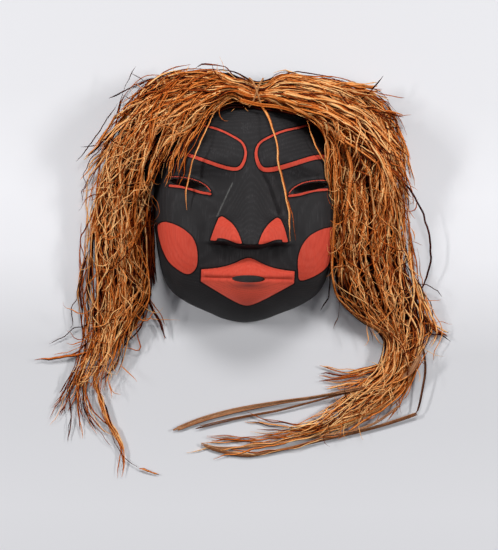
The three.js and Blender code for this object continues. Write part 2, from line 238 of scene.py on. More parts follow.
def rim_radius(angle):
    return np.interp(angle, rim_angles[rim_order], rim_radii[rim_order], period=2 * math.pi)


def mix(a, b, t):
    return a + (b - a) * t


def ramp(start, end, value):
    t = np.clip((value - start) / (end - start), 0, 1)
    return t * t * (3 - 2 * t)


def bump(dx, dy, rx, ry):
    return np.exp(-((dx / rx) ** 2) - (dy / ry) ** 2)


def distance_to_line(x, y, line):
    """Distance from each place to a polyline, and how far along it the nearest point is, 0 to 1."""
    line = np.asarray(line, float)
    a, b = line[:-1], line[1:]
    along = b - a
    length = np.maximum((along**2).sum(1), 1e-12)
    steps = np.concatenate([[0], np.cumsum(np.sqrt(length))])
    best = np.full(x.shape, 1e9)
    where = np.zeros(x.shape)
    for k in range(len(a)):
        t = np.clip(((x - a[k, 0]) * along[k, 0] + (y - a[k, 1]) * along[k, 1]) / length[k], 0, 1)
        d = np.hypot(x - a[k, 0] - t * along[k, 0], y - a[k, 1] - t * along[k, 1])
        nearer = d < best
        best[nearer] = d[nearer]
        where[nearer] = ((steps[k] + t * math.sqrt(length[k])) / steps[-1])[nearer]
    return best, where


def signed_distance(x, y, outline):
    """Distance to a closed outline, below zero inside it."""
    outline = np.asarray(outline, float)
    closed = np.vstack([outline, outline[:1]])
    best, _ = distance_to_line(x, y, closed)
    inside = np.zeros(x.shape, bool)
    for (x0, y0), (x1, y1) in zip(closed[:-1], closed[1:]):
        crosses = (y0 > y) != (y1 > y)
        if y1 != y0:
            inside ^= crosses & (x < x0 + (y - y0) * (x1 - x0) / (y1 - y0))
    return np.where(inside, -best, best)


LIPS_HALF_WIDTH = 61.0
MOUTH_LINE_Y = 59.5


def upper_lip_edge(s):
    return 67.5 + 18.5 / (1 + (s / 24) ** 1.9)


def lower_lip_edge(s):
    return 24 + 0.595 * (np.hypot(np.minimum(s, LIPS_HALF_WIDTH), 11) - 11)


def lip_height(s, y):
    edge = np.minimum(np.minimum(upper_lip_edge(s) - y, y - lower_lip_edge(s)), LIPS_HALF_WIDTH - s)
    span = np.where(y > MOUTH_LINE_Y, upper_lip_edge(s) - MOUTH_LINE_Y, MOUTH_LINE_Y - lower_lip_edge(s))
    across = np.clip(np.abs(y - MOUTH_LINE_Y) / span, 0, 1)
    pout = np.where(y > MOUTH_LINE_Y, 11 * (1 - across**1.4), 11 - 4 * across**1.6 - 7 * ramp(0.8, 1, across))
    pout = pout * (1 - 0.6 * (s / LIPS_HALF_WIDTH) ** 2)
    parting = 2.4 * np.exp(-(((y - MOUTH_LINE_Y) / 2.6) ** 2))
    parting = parting + 1.8 * np.exp(-np.abs(y - MOUTH_LINE_Y - 0.4) / 0.6)
    parting = parting + 3.0 * bump(s, y - MOUTH_LINE_Y + 5, 20, 5)
    return np.where(edge > 0, 5 * ramp(0, 3.2, edge) + pout - parting, 0)


NOSE_TOP_Y = 214.0
NOSE_BASE_Y = 108.0
NOSE_RISE = 33.0
NOSE_RIDGE_TOP, NOSE_RIDGE_BASE = 9.0, 31.0
NOSTRIL_X, NOSTRIL_Y, NOSTRIL_RISE = 33.0, 117.0, 15.0


def nose_height(x, y):
    s = np.abs(x)
    down = np.clip((NOSE_TOP_Y - y) / (NOSE_TOP_Y - NOSE_BASE_Y), 0, 1)
    ridge = NOSE_RISE * down**1.15 * np.exp(-((s / mix(NOSE_RIDGE_TOP, NOSE_RIDGE_BASE, down)) ** 2.2))
    wing = NOSTRIL_RISE * np.exp(-(((s - NOSTRIL_X) / 17) ** 4) - ((y - NOSTRIL_Y) / 19) ** 4)
    under_edge = 101.5 + 4.5 * ramp(10, 34, s)
    base = ramp(under_edge - 4.0, under_edge + 1.5, y)
    return (ridge + wing) * base - 3 * bump(s - 27, y - 103, 8, 3.6)


EYE_INNER_X = 52.0
EYE_LENGTH = 52.0
EYE_INNER_Y = 170.5
EYE_RISE = 15.5
EYE_HALF_HEIGHT = 5.3
MOUTH_HALF_LENGTH = 21.5
MOUTH_HALF_HEIGHT = 4.7
SLIT_POINTS = 28

slit_steps = 0.5 - 0.5 * np.cos(np.linspace(0, math.pi, SLIT_POINTS))


def slit(x, centre_y, half_height):
    """A lens-shaped outline round a line, from places along the line."""
    h = half_height * (4 * slit_steps * (1 - slit_steps)) ** 0.5
    return np.vstack([np.stack([x, centre_y - h], 1), np.stack([x, centre_y + h], 1)[-2:0:-1]])


def eye_slit(side):
    x = side * (EYE_INNER_X + EYE_LENGTH * slit_steps)
    return slit(x, EYE_INNER_Y + EYE_RISE * slit_steps**0.55, EYE_HALF_HEIGHT)[::side]


mouth_x = mix(-MOUTH_HALF_LENGTH, MOUTH_HALF_LENGTH, slit_steps)
mouth_slit = slit(mouth_x, np.full(SLIT_POINTS, MOUTH_LINE_Y - 0.3), MOUTH_HALF_HEIGHT)


def face_height(x, y, fine=True):
    """Height of the carved face over the plane of its rear rim."""
    s = np.abs(x)
    reach = np.hypot(x, y - FACE_CENTRE_Y)
    rho = np.clip(reach / rim_radius(np.arctan2(y - FACE_CENTRE_Y, x)), 0, 1)
    dome = FACE_DEPTH * (1 - rho**DOME_ACROSS_POWER) ** (1 / DOME_DEPTH_POWER)
    brow_ridge = 6 * bump(s - 58, y - 214, 52, 17)
    eye_socket = -9 * bump(s - 74, y - 184, 40, 20)
    lid_bulge = 5 * bump(s - 78, y - 178, 26, 12)
    cheek = 4 * bump(s - 84, y - 100, 30, 34)
    muzzle = 11 * bump(x, y - 52, 64, 36)
    features = brow_ridge + eye_socket + lid_bulge + cheek + muzzle + nose_height(x, y) + lip_height(s, y)
    if fine:
        # The knife leaves shallow facets, and the lids stand up a little round the slits
        facets = np.sin(x / 6.1 + 2 * np.sin(y / 17)) * np.sin(y / 8.3 + 1.5 * np.sin(x / 13))
        features = features + 0.22 * facets
        for side in (-1, 1):
            near = (np.abs(x - side * 78) < 40) & (np.abs(y - 180) < 26)
            gap = signed_distance(x[near], y[near], eye_slit(side))
            features[near] += 1.3 * np.exp(-((gap / 3.0) ** 2)) - 0.7 * np.exp(-(((gap - 7.5) / 2.4) ** 2))
    return dome + (1 - rho**6) * features


def cavity_height(x, y):
    """Height of the hollow behind the face, with the scallops that the gouge left."""
    reach = np.hypot(x, y - FACE_CENTRE_Y)
    rho = np.clip(reach / (rim_radius(np.arctan2(y - FACE_CENTRE_Y, x)) - WALL), 0, 1)
    dome = (FACE_DEPTH - WALL) * (1 - rho**DOME_ACROSS_POWER) ** (1 / DOME_DEPTH_POWER)
    scallops = 0.55 * np.abs(np.sin(x / 5.2 + 0.7 * np.sin(y / 21))) * np.abs(np.sin(y / 11 + np.sin(x / 15)))
    return dome + (1 - rho**6) * (14 * bump(x, y - 128, 30, 40) - scallops)


def dome_places(cells, inset):
    """A square grid pressed into the rim's outline: X, Y and which points lie on the rim."""
    u = np.linspace(-1, 1, cells + 1)
    gx, gy = np.meshgrid(u, u)
    a = gx * np.sqrt(1 - gy * gy / 2)
    b = gy * np.sqrt(1 - gx * gx / 2)
    ring = np.minimum(np.hypot(a, b), 1)
    angle = np.arctan2(b, a)
    rho = ring + RING_CROWDING * ring**3 * (1 - ring)
    reach = rho * (rim_radius(angle) - inset)
    on_rim = np.maximum(np.abs(gx), np.abs(gy)) == 1
    return reach * np.cos(angle), FACE_CENTRE_Y + reach * np.sin(angle), on_rim


def carved_shell():
    """Front, hollow and flat rear rim as one closed skin; the hollow has half as many cells."""
    outer_x, outer_y, outer_rim = dome_places(CARVING_CELLS, 0)
    inner_x, inner_y, inner_rim = dome_places(CARVING_CELLS // 2, WALL)
    outer_z = np.where(outer_rim, 0, face_height(outer_x, outer_y))
    inner_z = np.where(inner_rim, 0, cavity_height(inner_x, inner_y))
    outer = np.stack([outer_x, outer_y, outer_z], -1).reshape(-1, 3)
    inner = np.stack([inner_x, inner_y, inner_z], -1).reshape(-1, 3)

    def quads(cells, first):
        grid = first + np.arange((cells + 1) ** 2).reshape(cells + 1, cells + 1)
        loop = np.concatenate([grid[0, :-1], grid[:-1, -1], grid[-1, :0:-1], grid[:0:-1, 0]])
        return np.stack([grid[:-1, :-1], grid[:-1, 1:], grid[1:, 1:], grid[1:, :-1]], -1).reshape(-1, 4), loop

    front, outer_loop = quads(CARVING_CELLS, 0)
    back, inner_loop = quads(CARVING_CELLS // 2, len(outer))
    rim = np.stack([
        np.roll(outer_loop, -2)[::2], np.roll(outer_loop, -1)[::2], outer_loop[::2],
        inner_loop, np.roll(inner_loop, -1),
    ], 1)
    return np.vstack([outer, inner]), front.tolist() + back[:, ::-1].tolist() + rim.tolist()


def solid_object(name, points, faces):
    mesh = bpy.data.meshes.new(name)
    mesh.from_pydata(metres(points).tolist(), [], faces)
    mesh.validate()
    return put(name, mesh)


def settle(thing):
    """Makes an object's modifiers final, as one plain mesh."""
    plain = bpy.data.meshes.new_from_object(thing.evaluated_get(bpy.context.evaluated_depsgraph_get()))
    thing.modifiers.clear()
    thing.data = plain
    return plain


def cutting_prism(outline, low, high, to_point=None):
    """Points and faces of a straight cutter, upright or turned by to_point."""
    outline = np.asarray(outline, float)
    n = len(outline)
    points = [(x, y, z) for z in (low, high) for x, y in outline]
    if to_point:
        points = [to_point(*p) for p in points]
    faces = [list(range(n))[::-1], list(range(n, 2 * n))]
    faces += [[k, (k + 1) % n, (k + 1) % n + n, k + n] for k in range(n)]
    return points, faces


LASHING_X = 7.0
LASHING_SPREAD = 9.0
FRONT_HOLE_Y = 289.0
BACK_HOLE_Z = 16.0
HOLE_RADIUS = 3.2
FRONT_HOLE_DEPTHS = (24, 85)
BACK_HOLE_REACH = (280, 320)
SLIT_DEPTHS = (5, 200)
hole_turns = [k * math.pi / 8 for k in range(16)]
hole_ring = [(HOLE_RADIUS * math.cos(turn), HOLE_RADIUS * math.sin(turn)) for turn in hole_turns]

carving = solid_object("mask_carving", *carved_shell())
cutters = [cutting_prism(outline, *SLIT_DEPTHS) for outline in (eye_slit(-1), eye_slit(1), mouth_slit)]
for side in (-1, 1):
    hole_x = LASHING_X + side * LASHING_SPREAD
    front_ring = [(hole_x + p, FRONT_HOLE_Y + q) for p, q in hole_ring]
    cutters.append(cutting_prism(front_ring, *FRONT_HOLE_DEPTHS))
    cutters.append(cutting_prism(
        hole_ring, *BACK_HOLE_REACH, to_point=lambda p, q, r: (hole_x + p, r, BACK_HOLE_Z - q),
    ))
cutter_points, cutter_faces = [], []
for points, faces in cutters:
    cutter_faces += [[k + len(cutter_points) for k in face] for face in faces]
    cutter_points += points
cutter = solid_object("cutters", cutter_points, cutter_faces)
cut = carving.modifiers.new("pierced", "BOOLEAN")
cut.operation = "DIFFERENCE"
cut.solver = "EXACT"
cut.object = cutter
skin = settle(carving)
bpy.data.objects.remove(cutter)

# Where the paint goes: every red field is known by the distance to its edge, in millimetres
BROW = [
    (98, 273), (67, 261), (43, 254), (25, 245.5), (12, 237), (7, 226), (8, 214.5), (13, 204.5),
    (21.5, 201.5), (38, 204.5), (58, 211), (86, 220.5), (112, 224),
]
BROW_WIDTH_TOP = 2.6
BROW_WIDTH_BELOW = {-1: 4.2, 1: 5.6}
LID_HALF_WIDTH_ABOVE, LID_HALF_WIDTH_BELOW = 0.55, 1.45
LID_ABOVE = [(51, 172), (57, 179), (68, 185.5), (80, 189), (94, 191), (107, 191)]
LID_BELOW = [(51.5, 168.5), (66, 171), (84, 176.5), (104, 179.5)]
CHEEK = {
    -1: [
        (119, 124), (117, 129.5), (108, 131.5), (92, 126), (80, 118), (72, 109), (67, 94), (67, 75),
        (74, 65), (84, 65), (101, 77), (110, 91), (116, 108),
    ],
    1: [
        (121, 131), (109, 129.5), (94, 125), (79, 116), (69, 102), (65, 86), (66, 70), (69, 59),
        (82, 61.5), (100, 71), (112, 83), (119, 100), (123, 118),
    ],
}
# A black line under the nose, a light line down its left side that is a painted highlight on its edge, and a
# patch of painted shade under the mouth, for the recess below the slit
UNDER_NOSE_LINE = [(-11, 104), (-5, 103), (5, 103), (11, 104)]
NOSE_HIGHLIGHT_LINE = [(-23, 183), (-30, 168), (-37, 152), (-42, 140)]
MOUTH_PAINTED_SHADE = (0.0, 50.5, 25.0, 4.6)
# How far outside a red edge its black outline runs
BRUSH_LINE_OFF = 0.9
SHARP_EDGE_DEGREES = 46
NOSTRIL = [
    [(10.5, 104), (15.5, 118), (23.5, 130), (33, 138)],
    [(33, 138), (36.5, 139.3), (40.5, 137)],
    [(40.5, 137), (46, 123), (50.5, 108.3)],
    [(50.5, 108.3), (46, 107.6), (42.5, 108)],
    [(42.5, 108), (42.2, 110.8)],
    [(42.2, 110.8), (37, 110.9), (30, 109.4), (19, 105), (10.5, 104)],
]


def painted_fields(x, y):
    """How far inside a red field each place lies, and its distance from the dark brush lines."""
    red = np.full(x.shape, -50.0)
    s = np.abs(x)
    for side in (-1, 1):
        here = (side * x > -6) & (y > 40)
        px, py = side * x[here], y[here]
        line, along = distance_to_line(px, py, curve_points(BROW, 90))
        width = mix(BROW_WIDTH_TOP, BROW_WIDTH_BELOW[side], ramp(0.38, 0.62, along)) / 2
        found = width - line
        line, along = distance_to_line(px, py, curve_points(LID_ABOVE, 30))
        found = np.maximum(found, LID_HALF_WIDTH_ABOVE - line)
        line, along = distance_to_line(px, py, curve_points(LID_BELOW, 30))
        found = np.maximum(found, LID_HALF_WIDTH_BELOW - line)
        found = np.maximum(found, -signed_distance(px, py, curve_points(CHEEK[side], 80, closed=True)))
        wing = np.vstack([curve_points(run, 14)[:-1] for run in NOSTRIL])
        found = np.maximum(found, -signed_distance(px, py, wing))
        red[here] = np.maximum(red[here], found)
    lips = np.minimum(np.minimum(upper_lip_edge(s) - y, y - lower_lip_edge(s)), LIPS_HALF_WIDTH - s)
    red = np.maximum(red, 0.93 * lips)
    under_nose, _ = distance_to_line(x, y, UNDER_NOSE_LINE)
    return red, np.minimum(np.abs(red + BRUSH_LINE_OFF), under_nose)


places = np.empty(len(skin.vertices) * 3, np.float32)
skin.vertices.foreach_get("co", places)
places = (places.reshape(-1, 3).astype(float) - CHIN) * 1000
px, py, pz = places.T
red, brush_line = painted_fields(px, py)
below_face = face_height(px, py) - pz
# A light line painted down the nose's left side: a painted highlight on its edge
nose_highlight = ramp(1.1, 0.2, distance_to_line(px, py, NOSE_HIGHLIGHT_LINE)[0])
# Painted shade in the recess under the mouth slit, on the painted face only
mouth_shade = np.where(below_face < 3, bump(px - MOUTH_PAINTED_SHADE[0], py - MOUTH_PAINTED_SHADE[1], *MOUTH_PAINTED_SHADE[2:]), 0)
# The lower lip, which faces away from the light, is painted a lighter red: painted light
lower_lip_painted_light = ramp(MOUTH_LINE_Y - 1, MOUTH_LINE_Y - 9, py) * ramp(70, 50, np.abs(px))
fields = {
    "red_field": red, "brush_line": brush_line, "lower_lip_painted_light": lower_lip_painted_light, "below_face": below_face,
    "nose_highlight": nose_highlight, "mouth_shade": mouth_shade,
}
for name, values in fields.items():
    skin.attributes.new(name, "FLOAT", "POINT").data.foreach_set("value", values.astype(np.float32))
skin.shade_smooth()
skin.set_sharp_from_angle(angle=math.radians(SHARP_EDGE_DEGREES))


class Wood(Finish):
    """A finish that follows grain, noise and the fields measured on the piece."""

    def sums(self, operation, *values):
        given = {f"n{k}": value for k, value in enumerate(values)}
        return self.add("ShaderNodeMath", {"operation": operation}, **given).outputs[0]

    def plus(self, a, b):
        return self.sums("ADD", a, b)

    def times(self, a, b):
        return self.sums("MULTIPLY", a, b)

    def either_way(self, noise, amount):
        """A noise from 0 to 1 as a change up or down."""
        return self.times(self.sums("SUBTRACT", noise, 0.5), amount)

    def fade(self, value, start, end, low=0.0, high=1.0):
        given = {"Value": value, "From_Min": start, "From_Max": end, "To_Min": low, "To_Max": high}
        return self.add("ShaderNodeMapRange", {"interpolation_type": "SMOOTHSTEP"}, **given).outputs[0]

    def blend(self, amount, below, above):
        return self.add("ShaderNodeMix", {"data_type": "RGBA"}, n0=amount, n6=below, n7=above).outputs[2]

    def field(self, name):
        return self.add("ShaderNodeAttribute", {"attribute_name": name}).outputs["Fac"]

    def noise(self, vector, scale, detail=3.0, rough=0.55):
        given = {"Vector": vector, "Scale": scale, "Detail": detail, "Roughness": rough}
        return self.add("ShaderNodeTexNoise", **given).outputs["Fac"]

    def grained(self, relief, depth, strength):
        """The small relief that the light catches."""
        bumps = self.add("ShaderNodeBump", Height=relief, Distance=depth, Strength=strength)
        self.surface("Normal", bumps.outputs["Normal"])


def colour(r, g, b):
    return (r, g, b, 1.0)


# Painted cedar: graphite black with a low sheen, vermilion fields, bare oiled wood behind
BLACK_PAINT = colour(0.0190, 0.0175, 0.0183)
# The lighter black below is for worn patches and for painted sheen on the grain's ridges
BLACK_WORN_AND_SHEEN = colour(0.046, 0.043, 0.045)
# The grey below is a painted highlight down the nose's left edge
BLACK_HIGHLIGHT = colour(0.125, 0.125, 0.120)
RED_GRAIN = colour(0.40, 0.032, 0.020)
BRUSH_BLACK = colour(0.002, 0.002, 0.002)
RED_PAINT = colour(0.585, 0.060, 0.033)
RED_WORN = colour(0.61, 0.086, 0.052)
# The lighter red below is painted light on the downward-facing lower lip
RED_LOWER_LIP_LIT = colour(0.92, 0.122, 0.072)
BARE_CEDAR = colour(0.33, 0.165, 0.075)
BARE_CEDAR_DARK = colour(0.17, 0.072, 0.032)
ROUGH_BLACK, ROUGH_RED, ROUGH_BARE = (colour(share, share, share) for share in (0.56, 0.62, 0.75))

cedar = Wood("painted_cedar")
rings = cedar.add(
    "ShaderNodeTexWave", {"wave_type": "RINGS", "rings_direction": "Y", "wave_profile": "SIN"},
    Vector=cedar.place(shift=(0.006, 0, 0.055)), Scale=118.0, Distortion=2.6, Detail=3.0, Detail_Scale=0.18,
).outputs["Fac"]
streaks = cedar.noise(cedar.place(scale=(900, 34, 900)), 1.0, 4.0, 0.6)
brushing = cedar.noise(cedar.place(scale=(420, 60, 420)), 1.0, 2.0)
patches = cedar.noise(cedar.place(), 34.0, 4.0, 0.6)
grain = cedar.times(cedar.fade(rings, 0.35, 1.0), cedar.fade(streaks, 0.35, 0.7))
edge_wander = cedar.either_way(cedar.noise(cedar.place(), 420.0, 2.0), 0.5)
red_here = cedar.fade(cedar.plus(cedar.field("red_field"), edge_wander), -0.28, 0.28)
outline_here = cedar.fade(cedar.field("brush_line"), 1.3, 0.45)
cedar.surface("Specular IOR Level", 0.14)
worn = cedar.times(cedar.fade(patches, 0.45, 0.8), cedar.fade(streaks, 0.4, 0.75))
# Worn patches, and the grain's ridges as painted sheen, are painted lighter on the black
black = cedar.blend(cedar.plus(cedar.times(grain, 0.35), worn), BLACK_PAINT, BLACK_WORN_AND_SHEEN)
# The painted highlight down the nose's left edge, lighter along the grain's streaks
nose_highlight_streaks = cedar.times(cedar.field("nose_highlight"), cedar.fade(streaks, 0.25, 0.6))
black = cedar.blend(nose_highlight_streaks, black, BLACK_HIGHLIGHT)
black = cedar.blend(outline_here, black, BRUSH_BLACK)
red_tone = cedar.blend(cedar.times(cedar.fade(brushing, 0.35, 0.7), 0.6), RED_PAINT, RED_WORN)
# Painted light: the lower lip gets the lighter red
red_tone = cedar.blend(cedar.field("lower_lip_painted_light"), red_tone, RED_LOWER_LIP_LIT)
red_tone = cedar.blend(cedar.times(grain, 0.38), red_tone, RED_GRAIN)
# Painted shade under the mouth darkens the red towards black
red_tone = cedar.blend(cedar.times(cedar.field("mouth_shade"), 0.8), red_tone, BLACK_PAINT)
painted = cedar.blend(red_here, black, red_tone)
bare_tone = cedar.blend(cedar.fade(rings, 0.2, 0.95), BARE_CEDAR, BARE_CEDAR_DARK)
bare_tone = cedar.blend(cedar.times(cedar.fade(streaks, 0.4, 0.75), 0.5), bare_tone, BARE_CEDAR_DARK)
ragged = cedar.either_way(cedar.noise(cedar.place(), 160.0), 5.0)
bare_here = cedar.fade(cedar.plus(cedar.field("below_face"), ragged), 5.0, 7.5)
cedar.surface("Base Color", cedar.blend(bare_here, painted, bare_tone))
roughness = cedar.blend(red_here, ROUGH_BLACK, ROUGH_RED)
roughness = cedar.blend(bare_here, roughness, ROUGH_BARE)
cedar.surface("Roughness", cedar.plus(roughness, cedar.times(streaks, 0.16)))
relief = cedar.plus(cedar.times(rings, 0.45), cedar.times(streaks, 0.6))
cedar.grained(cedar.plus(relief, cedar.times(brushing, 0.3)), 0.00022, 0.7)
skin.materials.clear()
skin.materials.append(cedar.material)
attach(carving, "root")
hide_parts("mask")

# --- The hank of shredded cedar bark ---
# The inner bark of the red cedar, beaten and pulled into long flat fibres. One hank is laid over the
# crown and tied at its middle, so it falls down both sides of the face and its ends spread out.
# Rows across the hank: outer edge x y z, inner edge x y z, thickness.
RIGHT_FALL = [
    (43, 332, 45, 38, 283, 68, 27), (80, 330, 36, 70, 276, 73, 29), (129, 323, 20, 97, 256, 76, 31),
    (177, 298, 9, 106, 228, 74, 32), (205, 246, 7, 108, 196, 66, 32), (214, 190, 6, 112, 170, 58, 31),
    (222, 132, 6, 114, 127, 48, 29), (231, 78, 6, 118, 84, 40, 27), (246, 30, 6, 129, 38, 26, 25),
    (250, -13, 5, 160, 6, 14, 22), (240, -40, 5, 191, -16, 9, 20), (231, -72, 5, 186, -56, 8, 20),
    (202, -105, 5, 161, -82, 6, 18), (160, -132, 4, 127, -108, 5, 16), (105, -153, 4, 84, -134, 4, 13),
    (60, -160, 3, 50, -147, 3, 8),
]
LEFT_FALL = [
    (-24, 334, 44, -28, 285, 68, 27), (-63, 337, 34, -58, 272, 72, 29), (-108, 332, 20, -79, 256, 74, 31),
    (-147, 310, 10, -103, 237, 70, 32), (-176, 266, 7, -123, 201, 58, 32), (-200, 213, 6, -133, 172, 38, 31),
    (-213, 141, 6, -138, 131, 28, 29), (-215, 82, 6, -136, 82, 24, 27), (-215, 26, 6, -133, 27, 20, 25),
    (-213, 3, 6, -146, 0, 16, 23), (-211, -24, 5, -158, -28, 12, 20), (-217, -54, 5, -166, -60, 8, 16),
    (-226, -89, 4, -184, -95, 6, 11),
]
WAIST = (8, 321, 46, 7, 285, 66, 25)
LOCKS_ACROSS = 7
# The lashing presses the hank flat at the waist and draws its upper fibres together on both sides
# of it; beyond that the hank is heaped on the ground
TIED_REACH = 15
DRAWN_IN = (32, -8)
DRAWN_REACH = 16
HEAPED = (45, 120)
LOWEST_FIBRE = 1.2
FURROW_DEPTH = 0.2
# Where the ground shows through the falls: from and to along the hank, where across it at each, opening
PARTINGS = [(-430, -185, 0.18, -0.01, 0.055), (290, 430, -0.70, -0.66, 0.07), (120, 250, 0.30, 0.98, 0.11)]
# How much lighter or darker the fibres grow along the hank, by distance from the waist
LIGHTER_ALONG = (
    [-670, -560, -480, -400, -320, -200, -130, -60, 0, 60, 130, 200, 320, 400, 530],
    [0.28, 0.18, -0.01, -0.09, 0.06, 0.06, 0, -0.08, -0.17, -0.10, 0.02, 0.06, 0.05, -0.06, 0.02],
)
# On the right the fibres that leave the crown cross over to the outside of the fall, and lie on those
# that hang down inside; this is where that upper layer's edge runs, by distance from the waist
BAND_EDGE = ([-310, -210, -110, -60], [-1.0, 0.0, 0.85, 1.4])
# A fibre that would run through the carving is moved off it by steps: how many, outwards, upwards
CLEARING_STEPS, OUT_STEP, UP_STEP = 14, 1.0, 1.4
CLEARANCE = 0.8
FIBRE_STEP = 6.5
FREE_END_STEP = 4.5
SPROUT_TURN = 0.7
FIBRE_FLATNESS = 0.5
FIBRE_CRINKLE = 0.0006
FALL_CRINKLE = 0.0011
STRIP_CRINKLE = 0.0002
# A broad strip is split into fibres this far apart and this wide
SPLIT_SPACING, SPLIT_WIDTH = 1.5, 2.1


def flowing_curve(rows, steps_per_row):
    """A smooth curve through rows of numbers, led by the first three columns."""
    p = np.asarray(rows, float)
    p = np.vstack([2 * p[0] - p[1], p, 2 * p[-1] - p[-2]])
    gaps = np.sqrt(np.maximum(np.linalg.norm(np.diff(p[:, :3], axis=0), axis=1), 1e-6))
    knots = np.concatenate([[0], np.cumsum(gaps)])
    made = []
    for k in range(1, len(p) - 2):
        t = np.linspace(knots[k], knots[k + 1], steps_per_row, endpoint=False)[:, None]
        t0, t1, t2, t3 = knots[k - 1:k + 3]
        a = ((t1 - t) * p[k - 1] + (t - t0) * p[k]) / (t1 - t0)
        b = ((t2 - t) * p[k] + (t - t1) * p[k + 1]) / (t2 - t1)
        c = ((t3 - t) * p[k + 1] + (t - t2) * p[k + 2]) / (t3 - t2)
        d = ((t2 - t) * a + (t - t0) * b) / (t2 - t0)
        e = ((t3 - t) * b + (t - t1) * c) / (t3 - t1)
        made.append(((t2 - t) * d + (t - t1) * e) / (t2 - t1))
    return np.vstack(made + [p[-2:-1]])


def run_along(path):
    """How far along a path each of its places is."""
    return np.concatenate([[0], np.cumsum(np.linalg.norm(np.diff(path, axis=0), axis=1))])


def places_at(path, run, wanted):
    return np.stack([np.interp(wanted, run, column) for column in path.T], -1)


def evenly(path, step, fewest=2):
    """A path's places at even steps along it, and how far along each one is."""
    run = run_along(path)
    even = np.linspace(0, run[-1], max(fewest, int(run[-1] / step)))
    return places_at(path, run, even), even


def heading_along(path):
    ahead = np.gradient(path, axis=0)
    return ahead / np.maximum(np.linalg.norm(ahead, axis=1, keepdims=True), 1e-9)


def beside(path):
    """At each of a path's places, the level direction to its left."""
    ahead = heading_along(path)
    return np.stack([-ahead[:, 1], ahead[:, 0], np.zeros(len(path))], -1)


# The falls as one run from the right tip over the crown to the left tip, measured from the waist
STEPS_PER_ROW = 24
hank_rows = flowing_curve(RIGHT_FALL[::-1] + [WAIST] + LEFT_FALL, STEPS_PER_ROW)
hank_run = run_along((hank_rows[:, :3] + hank_rows[:, 3:6]) / 2)
hank_run -= hank_run[len(RIGHT_FALL) * STEPS_PER_ROW]
RIGHT_END, LEFT_END = hank_run[0], hank_run[-1]
hank_half_width = np.linalg.norm(hank_rows[:, :3] - hank_rows[:, 3:6], axis=1) / 2


def in_hank(run, across, depth):
    """A place in the hank: along it, across it from -1 outside to 1 inside, and up through it."""
    row = [np.interp(run, hank_run, hank_rows[:, k]) for k in range(7)]
    tied = np.exp(-((run / TIED_REACH) ** 2))
    drawn_in = ramp(0.6, 1.0, depth) * sum(np.exp(-(((run - spot) / DRAWN_REACH) ** 2)) for spot in DRAWN_IN)
    across = across * (1 - 0.5 * drawn_in)
    depth = depth - tied * np.maximum(depth - 0.75, 0)
    t = (1 + across) / 2
    x, y, middle = (mix(row[k], row[k + 3], t) for k in range(3))
    half = row[6] / 2 * np.maximum(1 - 0.8 * np.minimum(np.abs(across), 1.12) ** 2.5, 0.12)
    lock = (across + 1) / 2 * LOCKS_ACROSS
    furrow = FURROW_DEPTH * (2 * np.abs(lock - np.floor(lock) - 0.5)) ** 2
    bottom = mix(middle - half, LOWEST_FIBRE, ramp(*HEAPED, np.abs(run)))
    top = middle + half * (1 - furrow)
    return np.stack([x, y, mix(bottom, top, (1 + depth) / 2)], -1)


def parted(run, across):
    """A whole fibre's places across the hank, moved to one side of each parting that it passes."""
    for first, last, low, high, opening in PARTINGS:
        here = ramp(first, first + 40, run) * ramp(last, last - 40, run)
        if here.max() > 0:
            edge = mix(low, high, np.clip((run - first) / (last - first), 0, 1)) + 0.04 * np.sin(run / 19)
            off = across - edge
            side = 1 if (off * here).sum() > 0 else -1
            across = across + side * here * np.maximum(opening + 0.25 * np.abs(off) - side * off, 0)
    return across


def clear_of_face(points):
    """Moves fibres out of the carving: a little outwards and up, then up on to its surface."""
    x, y, z = points.T.copy()
    for _ in range(CLEARING_STEPS):
        deep = face_height(x, y, fine=False) + CLEARANCE - z
        reach = np.maximum(np.hypot(x, y - FACE_CENTRE_Y), 1)
        push = np.clip(deep, 0, OUT_STEP)
        x += push * x / reach
        y += push * (y - FACE_CENTRE_Y) / reach
        z += np.clip(deep, 0, UP_STEP)
    inside = np.hypot(x, y - FACE_CENTRE_Y) < rim_radius(np.arctan2(y - FACE_CENTRE_Y, x))
    z = np.where(inside, np.maximum(z, face_height(x, y, fine=False) + CLEARANCE), z)
    return np.stack([x, y, np.maximum(z, 0.9)], -1)


def meander(chance, run, longest, shortest):
    """A gentle wander along a fibre, the sum of three waves, about one either way."""
    total = np.zeros_like(run)
    for share, length in ((0.55, longest), (0.3, (longest * shortest) ** 0.5), (0.15, shortest)):
        stretch = length * chance.uniform(0.8, 1.25)
        total += share * np.sin(2 * math.pi * (run / stretch + chance.uniform()))
    return total


